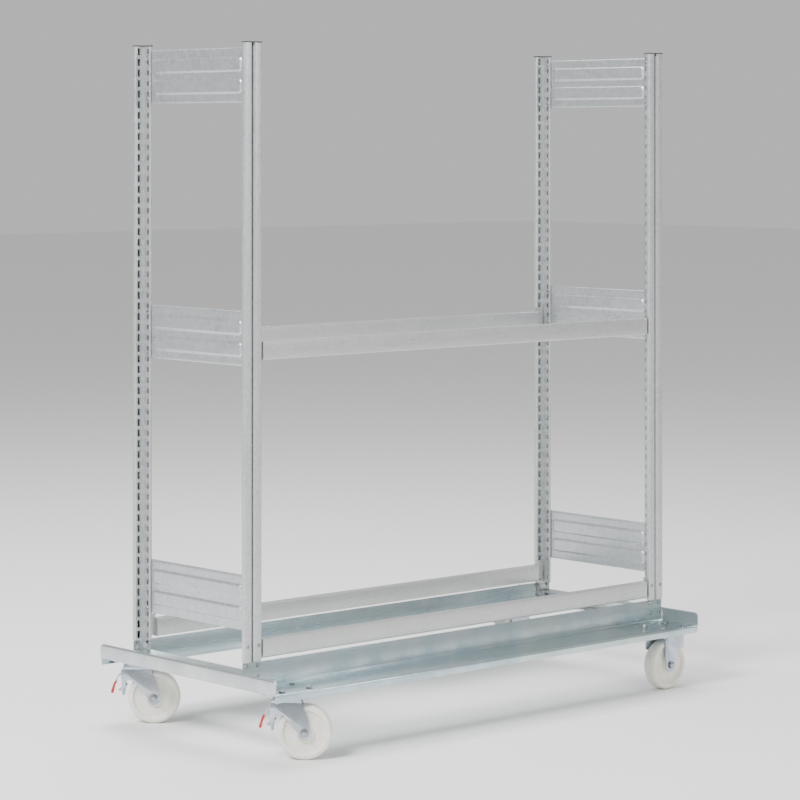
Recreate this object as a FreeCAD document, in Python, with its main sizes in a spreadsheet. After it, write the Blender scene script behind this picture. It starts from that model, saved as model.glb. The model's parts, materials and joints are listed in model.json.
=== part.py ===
"""Mobile tyre rack: two shelf levels of steel beams on a wheeled chassis.

Frame: +Z up, +X along the beams, the front faces -Y.  The floor is z = 0 and
the origin is the middle of the footprint with the castors as stored.
Every size is in millimetres and lives in the "Sizes" spreadsheet.
"""
import FreeCAD
import Part
import Sketcher

import os

doc = FreeCAD.newDocument("tyre_rack")
sheet = doc.addObject("Spreadsheet::Sheet", "Sizes")

SIZES = [
    # overall frame
    ("upright_pitch", "1335"),
    ("half_pitch", "=upright_pitch / 2"),
    ("frame_depth", "420"),
    ("mid_y", "16"),
    ("front_reach", "=frame_depth / 2 - mid_y"),
    ("rear_reach", "=frame_depth / 2 + mid_y"),
    ("foot_level", "214"),
    ("upright_length", "1400"),
    ("upright_top", "=foot_level + upright_length"),
    # upright section: closed box at the face, narrow stem behind it
    ("upright_half", "25"),
    ("sheet_wall", "1.5"),
    ("box_in_half", "=upright_half - sheet_wall"),
    ("box_depth", "12"),
    ("box_back", "=box_depth - sheet_wall"),
    ("groove_half", "5.5"),
    ("groove_deep", "4"),
    ("gap_half", "1.5"),
    ("stem_half", "3"),
    ("stem_depth", "38"),
    ("stem_back", "=stem_depth - sheet_wall"),
    ("cavity_mouth", "6.1"),
    ("cavity_deep", "4.6"),
    # slots along the upright
    ("slot_pitch", "25"),
    ("slot_count", "56"),
    ("slot_in", "11"),
    ("slot_out", "19"),
    ("slot_height", "17"),
    ("slot_low", "=slot_pitch - slot_height / 2"),
    ("slot_high", "=slot_pitch + slot_height / 2"),
    ("slot_from", "10"),
    ("slot_cut", "3"),
    ("stem_slot_from", "28"),
    ("stem_slot_to", "34"),
    ("stem_slot_height", "12"),
    ("stem_slot_low", "=slot_pitch - stem_slot_height / 2"),
    ("stem_slot_high", "=slot_pitch + stem_slot_height / 2"),
    ("stem_cut_from", "4"),
    ("stem_cut", "8"),
    ("foot_hole_x", "16"),
    ("foot_hole_up", "36"),
    ("foot_hole_r", "2.6"),
    ("face_cut_from", "1"),
    ("face_cut", "3"),
    # caps
    ("cap_half", "26"),
    ("cap_front", "1"),
    ("cap_box_back", "13"),
    ("cap_stem_half", "4.5"),
    ("cap_stem_back", "39.5"),
    ("cap_thick", "3"),
    ("peg_half", "1.3"),
    ("peg_front", "0.4"),
    ("peg_back", "3.6"),
    ("peg_drop", "6"),
    # side panels
    ("panel_half", "=frame_depth / 2 - 14"),
    ("panel_length", "=2 * panel_half"),
    ("panel_height", "125"),
    ("panel_flange", "10"),
    ("panel_top_in", "=panel_height - sheet_wall"),
    ("pad_rise", "3"),
    ("pad_half", "=frame_depth / 2 - stem_depth - 7"),
    ("pad_half_in", "=pad_half - sheet_wall"),
    ("pad_low", "20"),
    ("pad_low_top", "55"),
    ("pad_high", "70"),
    ("pad_high_top", "105"),
    ("pad_low_in", "=pad_low + sheet_wall"),
    ("pad_low_end", "=pad_low_top - sheet_wall"),
    ("pad_high_in", "=pad_high + sheet_wall"),
    ("pad_high_end", "=pad_high_top - sheet_wall"),
    ("pad_hollow", "3"),
    ("panel_low_z", "=foot_level + 65"),
    ("panel_mid_z", "=foot_level + 665"),
    ("panel_top_z", "=foot_level + 1265"),
    ("panel_screw_y", "=frame_depth / 2 - 31"),
    ("panel_screw_low", "10"),
    ("panel_screw_high", "110"),
    ("panel_hole_r", "2.5"),
    ("panel_x_left", "=half_pitch - stem_half"),
    ("panel_x_right", "=half_pitch + stem_half"),
    # beams and their end hooks
    ("beam_setback", "3"),
    ("beam_rise", "5"),
    ("level_rise", "=27 * slot_pitch"),
    ("beam_depth", "22"),
    ("beam_height", "42"),
    ("beam_gap", "8"),
    ("beam_half", "=half_pitch - upright_half - beam_gap"),
    ("beam_length", "=2 * beam_half"),
    ("beam_edge", "2"),
    ("beam_wall", "1.5"),
    ("beam_edge_y", "=beam_depth - beam_edge"),
    ("beam_edge_z", "=beam_height - beam_edge"),
    ("beam_in_y", "=beam_depth - beam_wall"),
    ("beam_in_z", "=beam_height - beam_wall"),
    ("beam_low_z", "=foot_level + beam_rise"),
    ("beam_mid_z", "=beam_low_z + level_rise"),
    ("hook_thick", "2.5"),
    ("hook_plate_y", "=box_depth - beam_setback"),
    ("hook_plate_from", "=half_pitch - 7"),
    ("hook_plate_len", "=hook_plate_from - beam_half"),
    ("hook_plate_z", "3"),
    ("hook_plate_height", "50"),
    ("hook_wide", "6"),
    ("hook_x", "=half_pitch - 12"),
    ("hook_lip", "6"),
    ("hook_lip_thick", "2.4"),
    ("hook_tip_y", "=box_back - hook_lip_thick - beam_setback"),
    ("hook_reach", "=hook_plate_y - hook_tip_y"),
    ("hook_tongue", "10"),
    ("hook_flange_x", "=beam_half + hook_thick"),
    ("hook_x_in", "=hook_x - hook_wide"),
    ("hook_low_tongue_z", "=slot_low - beam_rise"),
    ("hook_high_tongue_z", "=hook_low_tongue_z + slot_pitch"),
    ("hook_low_lip_z", "=hook_low_tongue_z - hook_lip"),
    ("hook_high_lip_z", "=hook_high_tongue_z - hook_lip"),
    ("beam_front_y", "=front_reach - beam_setback"),
    ("beam_rear_y", "=rear_reach - beam_setback"),
    # feet
    ("bracket_half", "22"),
    ("bracket_width", "=2 * bracket_half"),
    ("bracket_thick", "2"),
    ("bracket_y", "8"),
    ("bracket_back", "=bracket_y + bracket_thick"),
    ("bracket_drop", "56"),
    ("bracket_rise", "48"),
    ("prong_back", "=sheet_wall + bracket_thick"),
    ("prong_half", "6.5"),
    ("prong_cut_from", "1"),
    ("prong_cut", "4"),
    ("foot_bolt_high", "9"),
    ("foot_bolt_low", "34"),
    ("foot_bolt_r", "3"),
    ("wall_cut_from", "4"),
    ("wall_cut", "8"),
    ("prong_screw_length", "=prong_back + 0.4"),
    ("screw_head_r", "5"),
    ("screw_head", "2.2"),
    ("screw_nut_r", "5.5"),
    ("screw_nut", "4"),
    ("small_screw_r", "2.4"),
    ("small_head_r", "4.5"),
    ("small_head", "1.8"),
    ("small_nut", "3.5"),
    ("small_shank_r", "2.3"),
    ("foot_shank_r", "2.9"),
    ("foot_shank", "=bracket_back + screw_nut + 0.5 - rail_face"),
    ("screw_head_y", "=rail_face - screw_head"),
    ("small_head_x", "=stem_half + small_head"),
    ("panel_nut_x", "=stem_half + sheet_wall"),
    ("panel_screw_length", "=2 * stem_half + sheet_wall + small_nut + 1"),
    # chassis
    ("chassis_half", "700"),
    ("plate_thick", "3"),
    ("rail_half", "=chassis_half - plate_thick"),
    ("rail_length", "=2 * rail_half"),
    ("rail_wall_half", "693"),
    ("rail_face", "=bracket_y - plate_thick"),
    ("rail_out", "116"),
    ("rail_lip_in", "=rail_out - plate_thick"),
    ("rail_wall_top", "=foot_level - bracket_thick"),
    ("rail_web_low", "155"),
    ("rail_web_top", "=rail_web_low + plate_thick"),
    ("rail_lip_low", "140"),
    ("trim_low", "160"),
    ("trim_high", "215"),
    ("end_half_span", "=frame_depth / 2 + rail_out"),
    ("end_span", "=2 * end_half_span"),
    ("end_top", "190"),
    ("end_top_in", "=end_top - plate_thick"),
    ("end_flange_half", "=frame_depth / 2 - 12"),
    ("end_flange_span", "=2 * end_flange_half"),
    ("end_flange_in", "657"),
    # castors
    ("castor_x", "625"),
    ("castor_out", "68"),
    ("castor_front_y", "=front_reach + castor_out"),
    ("castor_rear_y", "=rear_reach + castor_out"),
    ("castor_turn", "43"),
    ("castor_bolt_near", "=castor_x - bolt_half_x"),
    ("castor_bolt_far", "=castor_x + bolt_half_x"),
    ("castor_bolt_in", "=castor_out - bolt_half_y"),
    ("castor_bolt_out", "=castor_out + bolt_half_y"),
    ("bolt_front_in", "=front_reach + castor_bolt_in"),
    ("bolt_front_out", "=front_reach + castor_bolt_out"),
    ("bolt_rear_in", "=rear_reach + castor_bolt_in"),
    ("bolt_rear_out", "=rear_reach + castor_bolt_out"),
    ("bore_cut", "10"),
    ("bore_cut_from", "152"),
    ("foot_bolt_near", "=half_pitch - foot_hole_x"),
    ("foot_bolt_far", "=half_pitch + foot_hole_x"),
    ("foot_bolt_upper_z", "=foot_level - foot_bolt_high"),
    ("foot_bolt_lower_z", "=foot_level - foot_bolt_low"),
    ("base_half_x", "52.5"),
    ("base_half_y", "42.5"),
    ("base_low", "=rail_web_low - plate_thick"),
    ("bolt_half_x", "40"),
    ("bolt_half_y", "30"),
    ("bolt_hole_r", "4.5"),
    ("bolt_r", "4"),
    ("bolt_hex_r", "7.5"),
    ("bolt_head", "5.3"),
    ("bolt_nut", "6.5"),
    ("bolt_length", "14"),
    ("nut_hole_r", "4.05"),
    ("bolt_tip_z", "=rail_web_top - bolt_length"),
    ("bolt_nut_z", "=base_low - bolt_nut"),
    ("race_in", "14"),
    ("race_out", "27"),
    ("race_low", "144"),
    ("race_height", "=base_low - race_low"),
    ("kingpin_r", "6"),
    ("kingpin_head_r", "11"),
    ("kingpin_low", "131.4"),
    ("kingpin_head", "6.3"),
    ("kingpin_length", "=base_low - kingpin_low"),
    ("crown_r", "31"),
    ("crown_low", "138"),
    ("crown_top", "143.7"),
    ("crown_thick", "=crown_top - crown_low"),
    ("crown_bore_r", "6.05"),
    ("crown_cut", "10"),
    ("crown_cut_from", "136"),
    ("leg_in", "19"),
    ("leg_thick", "3"),
    ("leg_out", "=leg_in + leg_thick"),
    ("fork_width", "=2 * leg_out"),
    ("fork_inside", "=2 * leg_in"),
    ("fork_head_half", "30"),
    ("fork_ear_x", "38"),
    ("fork_ear_top", "126"),
    ("fork_ear_low", "106"),
    ("fork_throat_x", "6"),
    ("fork_throat_z", "104"),
    ("trail", "40"),
    ("wheel_r", "62.5"),
    ("leg_end_r", "15"),
    ("leg_end_back", "=trail + leg_end_r"),
    ("leg_end_front", "=trail - leg_end_r"),
    ("fork_cut", "=2 * leg_out + 10"),
    ("fork_clear_x", "70"),
    ("fork_clear_z", "30"),
    ("axle_r", "5.95"),
    ("axle_hole_r", "6"),
    ("axle_tube_r", "10"),
    ("axle_tube_half", "18.9"),
    ("axle_tube", "=2 * axle_tube_half"),
    ("axle_hex_r", "9"),
    ("axle_head", "6"),
    ("axle_hex_x", "=axle_hex_r / 2"),
    ("axle_hex_z", "=axle_hex_r * 0.8660254"),
    ("wheel_left_x", "=castor_x - trail * cos(castor_turn)"),
    ("wheel_front_y", "=castor_front_y + trail * sin(castor_turn)"),
    ("wheel_rear_y", "=castor_rear_y - trail * sin(castor_turn)"),
    ("axle_half", "=leg_out + axle_head"),
    ("axle_length", "=2 * axle_half"),
    # castor wheel section
    ("hub_bore_r", "10.05"),
    ("hub_r", "19"),
    ("hub_half", "18.7"),
    ("web_in_r", "22"),
    ("web_half", "10"),
    ("web_out_r", "48"),
    ("rim_in_r", "51"),
    ("rim_half", "16.5"),
    ("rim_side_r", "56"),
    ("rim_side_half", "17"),
    ("rim_corner_r", "60.5"),
    ("rim_corner_half", "15"),
    ("tread_half", "11"),
    # foot brake on the swivel castors
    ("brake_x", "30"),
    ("brake_z", "116"),
    ("brake_pin_r", "3"),
    ("brake_bore_r", "3.05"),
    ("brake_barrel_r", "6"),
    ("brake_barrel", "=2 * leg_in - 1.6"),
    ("lever_width", "24"),
    ("lever_top_a", "121.5"),
    ("lever_b_x", "37"),
    ("lever_b_z", "120.5"),
    ("lever_c_x", "47"),
    ("lever_c_z", "112"),
    ("lever_d_x", "54"),
    ("lever_d_z", "98"),
    ("lever_e_x", "51.3"),
    ("lever_e_z", "96.7"),
    ("lever_f_x", "44.6"),
    ("lever_f_z", "109.2"),
    ("lever_g_x", "36"),
    ("lever_g_z", "117"),
    ("arm_left", "35.5"),
    ("arm_right", "29"),
    ("arm_top", "113"),
    ("arm_low", "88"),
    ("shoe_left", "36"),
    ("shoe_right", "20"),
    ("shoe_top", "92"),
    ("shoe_low", "66"),
    ("shoe_width", "22"),
    ("shoe_gap_r", "70"),
    ("grip_width", "22"),
    ("grip_a_x", "50.3"),
    ("grip_a_z", "96.3"),
    ("grip_b_x", "55.6"),
    ("grip_b_z", "98.7"),
    ("grip_c_x", "59.6"),
    ("grip_c_z", "91"),
    ("grip_d_x", "63.6"),
    ("grip_d_z", "74"),
    ("grip_e_x", "60.5"),
    ("grip_e_z", "70.5"),
    ("grip_f_x", "56.6"),
    ("grip_f_z", "73"),
    # fixed castor fork
    ("strut_half", "18"),
    ("wing_top_x", "50"),
    ("wing_mid_x", "36"),
    ("wing_mid_z", "100"),
    ("wing_top_z", "152.5"),
]

for row, (alias, text) in enumerate(SIZES, start=1):
    sheet.set(f"A{row}", alias)
    sheet.set(f"B{row}", text)
    sheet.setAlias(f"B{row}", alias)
doc.recompute()


def number(name):
    """Value of a sheet size; "-size" is its negative and "0" is zero."""
    if name == "0":
        return 0.0
    value = float(sheet.get(name.lstrip("-")))
    return -value if name.startswith("-") else value


def formula(name):
    """Expression that reads a sheet size, with the same sign rule."""
    if name == "0":
        return "0"
    if name.startswith("-"):
        return "-Sizes." + name[1:]
    return "Sizes." + name


def place(item, x="0", y="0", z="0", turn="0"):
    """Bind an object's position and its turn about +Z to the sheet."""
    item.Placement = FreeCAD.Placement(
        FreeCAD.Vector(number(x), number(y), number(z)),
        FreeCAD.Rotation(FreeCAD.Vector(0, 0, 1), number(turn)),
    )
    for axis, name in (("x", x), ("y", y), ("z", z)):
        item.setExpression(f"Placement.Base.{axis}", formula(name))
    if turn != "0":
        item.setExpression("Placement.Rotation.Angle", formula(turn))


def half_turn(item, x="0", y="0", z="0"):
    """Place an object turned by half a revolution about +Z."""
    place(item, x, y, z)
    item.Placement = FreeCAD.Placement(
        item.Placement.Base, FreeCAD.Rotation(FreeCAD.Vector(0, 0, 1), 180)
    )


def new_body(label):
    """Start a named PartDesign body."""
    body = doc.addObject("PartDesign::Body", label)
    body.Label = label
    return body


def origin_feature(body, role):
    """Origin plane or axis of a body by its role."""
    for feature in body.Origin.OriginFeatures:
        if feature.Role == role:
            return feature
    raise LookupError(role)


def bind_point(sketch, geometry, index, x, y):
    """Hold one end of a sketch line (or a centre) at sheet coordinates."""
    for kind, name, axis in (("DistanceX", x, -2), ("DistanceY", y, -1)):
        if name == "0":
            sketch.addConstraint(
                Sketcher.Constraint("PointOnObject", geometry, index, axis)
            )
            continue
        size = abs(number(name))
        if number(name) > 0:
            rule = Sketcher.Constraint(kind, -1, 1, geometry, index, size)
        else:
            rule = Sketcher.Constraint(kind, geometry, index, -1, 1, size)
        at = sketch.addConstraint(rule)
        sketch.setExpression(f"Constraints[{at}]", "Sizes." + name.lstrip("-"))


def draw_polygon(sketch, points):
    """Closed polygon whose corners are bound to the sheet."""
    spots = [FreeCAD.Vector(number(x), number(y), 0) for x, y in points]
    first = sketch.GeometryCount
    count = len(points)
    for i in range(count):
        sketch.addGeometry(Part.LineSegment(spots[i], spots[(i + 1) % count]))
    for i in range(count):
        after = first + (i + 1) % count
        sketch.addConstraint(
            Sketcher.Constraint("Coincident", first + i, 2, after, 1)
        )
    for i, (x, y) in enumerate(points):
        bind_point(sketch, first + i, 1, x, y)


def draw_circle(sketch, x, y, radius):
    """Circle bound to the sheet."""
    centre = FreeCAD.Vector(number(x), number(y), 0)
    axis = FreeCAD.Vector(0, 0, 1)
    at = sketch.addGeometry(Part.Circle(centre, axis, number(radius)))
    bind_point(sketch, at, 3, x, y)
    rule = sketch.addConstraint(
        Sketcher.Constraint("Radius", at, number(radius))
    )
    sketch.setExpression(f"Constraints[{rule}]", formula(radius))


def new_sketch(body, name, role, loops, start="0"):
    """Sketch on a plane of the body, moved along that plane's axis."""
    sketch = body.newObject("Sketcher::SketchObject", name)
    sketch.AttachmentSupport = [(origin_feature(body, role), "")]
    sketch.MapMode = "FlatFace"
    if start != "0":
        # The XZ plane looks along -Y, the other two along their own axis.
        shift = -number(start) if role == "XZ_Plane" else number(start)
        sketch.AttachmentOffset = FreeCAD.Placement(
            FreeCAD.Vector(0, 0, shift), FreeCAD.Rotation()
        )
        sign = "-1 * " if role == "XZ_Plane" else ""
        sketch.setExpression(
            "AttachmentOffset.Base.z", sign + "(" + formula(start) + ")"
        )
    for loop in loops:
        if loop[0] == "circle":
            draw_circle(sketch, *loop[1:])
        else:
            draw_polygon(sketch, loop)
    return sketch


def pad(body, name, role, loops, length, start="0", both_ways=False):
    """Add material from start along the plane's positive world axis."""
    sketch = new_sketch(body, name + "_sketch", role, loops, start)
    feature = body.newObject("PartDesign::Pad", name)
    feature.Profile = sketch
    feature.Length = number(length)
    feature.setExpression("Length", formula(length))
    if both_ways:
        feature.SideType = "Symmetric"
    else:
        feature.Reversed = role == "XZ_Plane"
    return feature


def pocket(body, name, role, loops, length, start="0", both_ways=False):
    """Remove material from start along the plane's positive world axis."""
    sketch = new_sketch(body, name + "_sketch", role, loops, start)
    feature = body.newObject("PartDesign::Pocket", name)
    feature.Profile = sketch
    feature.Length = number(length)
    feature.setExpression("Length", formula(length))
    if both_ways:
        feature.SideType = "Symmetric"
    else:
        feature.Reversed = role != "XZ_Plane"
    return feature


def pattern_up(body, name, feature, count, pitch):
    """Repeat a feature upwards at a fixed pitch."""
    doc.recompute()
    rows = body.newObject("PartDesign::LinearPattern", name)
    rows.Originals = [feature]
    rows.Direction = (origin_feature(body, "Z_Axis"), [""])
    rows.Mode = "Spacing"
    rows.Offset = number(pitch)
    rows.Occurrences = int(number(count))
    rows.setExpression("Offset", formula(pitch))
    rows.setExpression("Occurrences", formula(count))
    body.Tip = rows
    return rows


def rectangle(x0, y0, x1, y1):
    """Corners of a rectangle given by sheet names."""
    return [(x0, y0), (x1, y0), (x1, y1), (x0, y1)]


def box(name, x, y, z, dx, dy, dz):
    """Part box from its low corner and sizes."""
    item = doc.addObject("Part::Box", name)
    for prop, size in (("Length", dx), ("Width", dy), ("Height", dz)):
        setattr(item, prop, number(size))
        item.setExpression(prop, formula(size))
    place(item, x, y, z)
    return item


def solid_group(label, items):
    """One node holding several separate solids."""
    group = doc.addObject("Part::Compound", label)
    group.Links = items
    group.Label = label
    return group


def fused(name, items):
    """Union of several shapes."""
    union = doc.addObject("Part::MultiFuse", name)
    union.Shapes = items
    return union


nodes = []


# ---- uprights -------------------------------------------------------------
def make_upright(label, x, y, rear):
    """One slotted upright, its face outwards and its stem inwards."""
    body = new_body(label)
    outline = [
        ("-upright_half", "0"),
        ("-groove_half", "0"),
        ("-gap_half", "groove_deep"),
        ("-gap_half", "stem_back"),
        ("gap_half", "stem_back"),
        ("gap_half", "groove_deep"),
        ("groove_half", "0"),
        ("upright_half", "0"),
        ("upright_half", "box_depth"),
        ("stem_half", "box_depth"),
        ("stem_half", "stem_depth"),
        ("-stem_half", "stem_depth"),
        ("-stem_half", "box_depth"),
        ("-upright_half", "box_depth"),
    ]
    loops = [outline]
    for sign in ("-", ""):
        loops.append(
            [
                (sign + "box_in_half", "sheet_wall"),
                (sign + "cavity_mouth", "sheet_wall"),
                (sign + "stem_half", "cavity_deep"),
                (sign + "stem_half", "box_back"),
                (sign + "box_in_half", "box_back"),
            ]
        )
    pad(body, label + "_section", "XY_Plane", loops, "upright_length")
    holes = [
        ("circle", "-foot_hole_x", "foot_hole_up", "foot_hole_r"),
        ("circle", "foot_hole_x", "foot_hole_up", "foot_hole_r"),
    ]
    pocket(
        body, label + "_foot_holes", "XZ_Plane", holes, "face_cut",
        "-face_cut_from",
    )
    slots = [
        rectangle("-slot_out", "slot_low", "-slot_in", "slot_high"),
        rectangle("slot_in", "slot_low", "slot_out", "slot_high"),
    ]
    cut = pocket(
        body, label + "_slots", "XZ_Plane", slots, "slot_cut", "slot_from"
    )
    pattern_up(body, label + "_slot_rows", cut, "slot_count", "slot_pitch")
    stem_slot = rectangle(
        "stem_slot_from", "stem_slot_low", "stem_slot_to", "stem_slot_high"
    )
    cut = pocket(
        body, label + "_stem_slot", "YZ_Plane", [stem_slot], "stem_cut",
        "-stem_cut_from",
    )
    pattern_up(body, label + "_stem_row", cut, "slot_count", "slot_pitch")
    put = half_turn if rear else place
    put(body, x, y, "foot_level")
    nodes.append(body)


def make_cap(label, x, y, rear):
    """Thin plastic cap that closes an upright's top end."""
    body = new_body(label)
    outline = [
        ("-cap_half", "-cap_front"),
        ("cap_half", "-cap_front"),
        ("cap_half", "cap_box_back"),
        ("cap_stem_half", "cap_box_back"),
        ("cap_stem_half", "cap_stem_back"),
        ("-cap_stem_half", "cap_stem_back"),
        ("-cap_stem_half", "cap_box_back"),
        ("-cap_half", "cap_box_back"),
    ]
    pad(body, label + "_plate", "XY_Plane", [outline], "cap_thick")
    peg = rectangle("-peg_half", "peg_front", "peg_half", "peg_back")
    pad(body, label + "_peg", "XY_Plane", [peg], "peg_drop", "-peg_drop")
    put = half_turn if rear else place
    put(body, x, y, "upright_top")
    nodes.append(body)


def make_bracket(label, x, y, rear):
    """Cranked plate: bolted to the chassis wall, prongs up the upright."""
    body = new_body(label)
    profile = [
        ("bracket_y", "-bracket_drop"),
        ("bracket_back", "-bracket_drop"),
        ("bracket_back", "0"),
        ("prong_back", "0"),
        ("prong_back", "bracket_rise"),
        ("sheet_wall", "bracket_rise"),
        ("sheet_wall", "-bracket_thick"),
        ("bracket_y", "-bracket_thick"),
    ]
    pad(
        body, label + "_crank", "YZ_Plane", [profile], "bracket_width",
        both_ways=True,
    )
    between = rectangle("-prong_half", "0", "prong_half", "bracket_rise")
    pocket(
        body, label + "_prongs", "XZ_Plane", [between], "prong_cut",
        "prong_cut_from",
    )
    screws = []
    bolts = []
    for sign in ("-", ""):
        screws.append(
            ("circle", sign + "foot_hole_x", "foot_hole_up", "small_screw_r")
        )
        for level in ("-foot_bolt_high", "-foot_bolt_low"):
            bolts.append(
                ("circle", sign + "foot_hole_x", level, "foot_bolt_r")
            )
    pocket(
        body, label + "_screw_holes", "XZ_Plane", screws, "prong_cut",
        "prong_cut_from",
    )
    pocket(
        body, label + "_bolt_holes", "XZ_Plane", bolts, "wall_cut",
        "wall_cut_from",
    )
    put = half_turn if rear else place
    put(body, x, y, "foot_level")
    nodes.append(body)


CORNERS = [
    ("front_left", "-half_pitch", "-front_reach", False),
    ("front_right", "half_pitch", "-front_reach", False),
    ("rear_left", "-half_pitch", "rear_reach", True),
    ("rear_right", "half_pitch", "rear_reach", True),
]
for corner, corner_x, corner_y, at_rear in CORNERS:
    make_upright("upright_" + corner, corner_x, corner_y, at_rear)
    make_cap("cap_" + corner, corner_x, corner_y, at_rear)
    make_bracket("foot_bracket_" + corner, corner_x, corner_y, at_rear)


# ---- side panels ----------------------------------------------------------
def make_panel(label, x, z):
    """Pressed sheet panel with two long raised pads and bent edges."""
    body = new_body(label)
    section = [
        ("0", "0"),
        ("panel_flange", "0"),
        ("panel_flange", "sheet_wall"),
        ("sheet_wall", "sheet_wall"),
        ("sheet_wall", "panel_top_in"),
        ("panel_flange", "panel_top_in"),
        ("panel_flange", "panel_height"),
        ("0", "panel_height"),
    ]
    pad(
        body, label + "_sheet", "XZ_Plane", [section], "panel_length",
        both_ways=True,
    )
    raised = [
        rectangle("-pad_half", "pad_low", "pad_half", "pad_low_top"),
        rectangle("-pad_half", "pad_high", "pad_half", "pad_high_top"),
    ]
    pad(
        body, label + "_pads", "YZ_Plane", raised, "pad_rise", "-pad_rise"
    )
    hollow = [
        rectangle("-pad_half_in", "pad_low_in", "pad_half_in", "pad_low_end"),
        rectangle("-pad_half_in", "pad_high_in", "pad_half_in", "pad_high_end"),
    ]
    pocket(
        body, label + "_hollows", "YZ_Plane", hollow, "pad_hollow",
        "-sheet_wall",
    )
    holes = []
    for sign in ("-", ""):
        for level in ("panel_screw_low", "panel_screw_high"):
            holes.append(
                ("circle", sign + "panel_screw_y", level, "panel_hole_r")
            )
    pocket(
        body, label + "_holes", "YZ_Plane", holes, "pad_hollow",
        "-sheet_wall",
    )
    place(body, x, "mid_y", z)
    nodes.append(body)


for level, level_z in (
    ("low", "panel_low_z"),
    ("middle", "panel_mid_z"),
    ("top", "panel_top_z"),
):
    make_panel("side_panel_left_" + level, "-panel_x_left", level_z)
    make_panel("side_panel_right_" + level, "panel_x_right", level_z)


# ---- beams and hooks ------------------------------------------------------
def make_beam(label, y, z, rear):
    """Tube with flattened corners that carries the tyres' treads."""
    body = new_body(label)
    outer = [
        ("0", "beam_edge"),
        ("beam_edge", "0"),
        ("beam_edge_y", "0"),
        ("beam_depth", "beam_edge"),
        ("beam_depth", "beam_edge_z"),
        ("beam_edge_y", "beam_height"),
        ("beam_edge", "beam_height"),
        ("0", "beam_edge_z"),
    ]
    inner = rectangle("beam_wall", "beam_wall", "beam_in_y", "beam_in_z")
    pad(
        body, label + "_tube", "YZ_Plane", [outer, inner], "beam_length",
        both_ways=True,
    )
    put = half_turn if rear else place
    put(body, "0", y, z)
    nodes.append(body)


def make_hooks(label, y, z, rear):
    """Angle plates on both ends of a beam, each with two slot hooks."""
    ends = []
    for side in ("left", "right"):
        name = f"{label}_{side}"
        low_x = {
            "flange": "-hook_flange_x" if side == "left" else "beam_half",
            "plate": "-hook_plate_from" if side == "left" else "beam_half",
            "hook": "-hook_x" if side == "left" else "hook_x_in",
        }
        parts = [
            box(
                name + "_flange", low_x["flange"], "0", "0", "hook_thick",
                "beam_depth", "beam_height",
            ),
            box(
                name + "_plate", low_x["plate"], "hook_plate_y",
                "hook_plate_z", "hook_plate_len", "hook_thick",
                "hook_plate_height",
            ),
        ]
        for level in ("low", "high"):
            parts.append(
                box(
                    f"{name}_tongue_{level}", low_x["hook"], "hook_tip_y",
                    f"hook_{level}_tongue_z", "hook_wide", "hook_reach",
                    "hook_tongue",
                )
            )
            parts.append(
                box(
                    f"{name}_lip_{level}", low_x["hook"], "hook_tip_y",
                    f"hook_{level}_lip_z", "hook_wide", "hook_lip_thick",
                    "hook_lip",
                )
            )
        ends.append(fused(name, parts))
    group = solid_group(label, ends)
    put = half_turn if rear else place
    put(group, "0", y, z)
    nodes.append(group)


for level, level_z in (("low", "beam_low_z"), ("middle", "beam_mid_z")):
    make_beam("beam_front_" + level, "-beam_front_y", level_z, False)
    make_hooks("beam_hooks_front_" + level, "-beam_front_y", level_z, False)
    make_beam("beam_rear_" + level, "beam_rear_y", level_z, True)
    make_hooks("beam_hooks_rear_" + level, "beam_rear_y", level_z, True)


# ---- chassis rails --------------------------------------------------------
def make_long_rail(label, y, rear):
    """Folded rail: wall under the uprights, shelf outwards, lip down."""
    body = new_body(label)
    section = [
        ("rail_face", "rail_web_top"),
        ("rail_face", "rail_wall_top"),
        ("bracket_y", "rail_wall_top"),
        ("bracket_y", "rail_web_low"),
        ("-rail_lip_in", "rail_web_low"),
        ("-rail_lip_in", "rail_lip_low"),
        ("-rail_out", "rail_lip_low"),
        ("-rail_out", "rail_web_top"),
    ]
    pad(
        body, label + "_fold", "YZ_Plane", [section], "rail_length",
        both_ways=True,
    )
    ends = [
        rectangle("-chassis_half", "trim_low", "-rail_wall_half", "trim_high"),
        rectangle("rail_wall_half", "trim_low", "chassis_half", "trim_high"),
    ]
    pocket(
        body, label + "_trim", "XZ_Plane", ends, "wall_cut", "wall_cut_from"
    )
    bores = []
    for side in ("-", ""):
        for x in ("castor_bolt_near", "castor_bolt_far"):
            for out in ("castor_bolt_in", "castor_bolt_out"):
                bores.append(("circle", side + x, "-" + out, "bolt_hole_r"))
    pocket(
        body, label + "_castor_holes", "XY_Plane", bores, "bore_cut",
        "bore_cut_from",
    )
    feet = []
    for side in ("-", ""):
        for x in ("foot_bolt_near", "foot_bolt_far"):
            for level in ("foot_bolt_upper_z", "foot_bolt_lower_z"):
                feet.append(("circle", side + x, level, "foot_bolt_r"))
    pocket(
        body, label + "_foot_holes", "XZ_Plane", feet, "wall_cut",
        "wall_cut_from",
    )
    put = half_turn if rear else place
    put(body, "0", y)
    nodes.append(body)


def make_end_rail(label, turned):
    """Channel across the end; its flanges run between the long rails."""
    body = new_body(label)
    web = rectangle("-chassis_half", "rail_web_low", "-rail_half", "end_top")
    pad(
        body, label + "_web", "XZ_Plane", [web], "end_span", both_ways=True
    )
    flanges = [
        rectangle("-rail_half", "end_top_in", "-end_flange_in", "end_top"),
        rectangle(
            "-rail_half", "rail_web_low", "-end_flange_in", "rail_web_top"
        ),
    ]
    pad(
        body, label + "_flanges", "XZ_Plane", flanges, "end_flange_span",
        both_ways=True,
    )
    put = half_turn if turned else place
    put(body, "0", "mid_y")
    nodes.append(body)


make_long_rail("long_rail_front", "-front_reach", False)
make_long_rail("long_rail_rear", "rear_reach", True)
make_end_rail("end_rail_left", False)
make_end_rail("end_rail_right", True)


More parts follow.
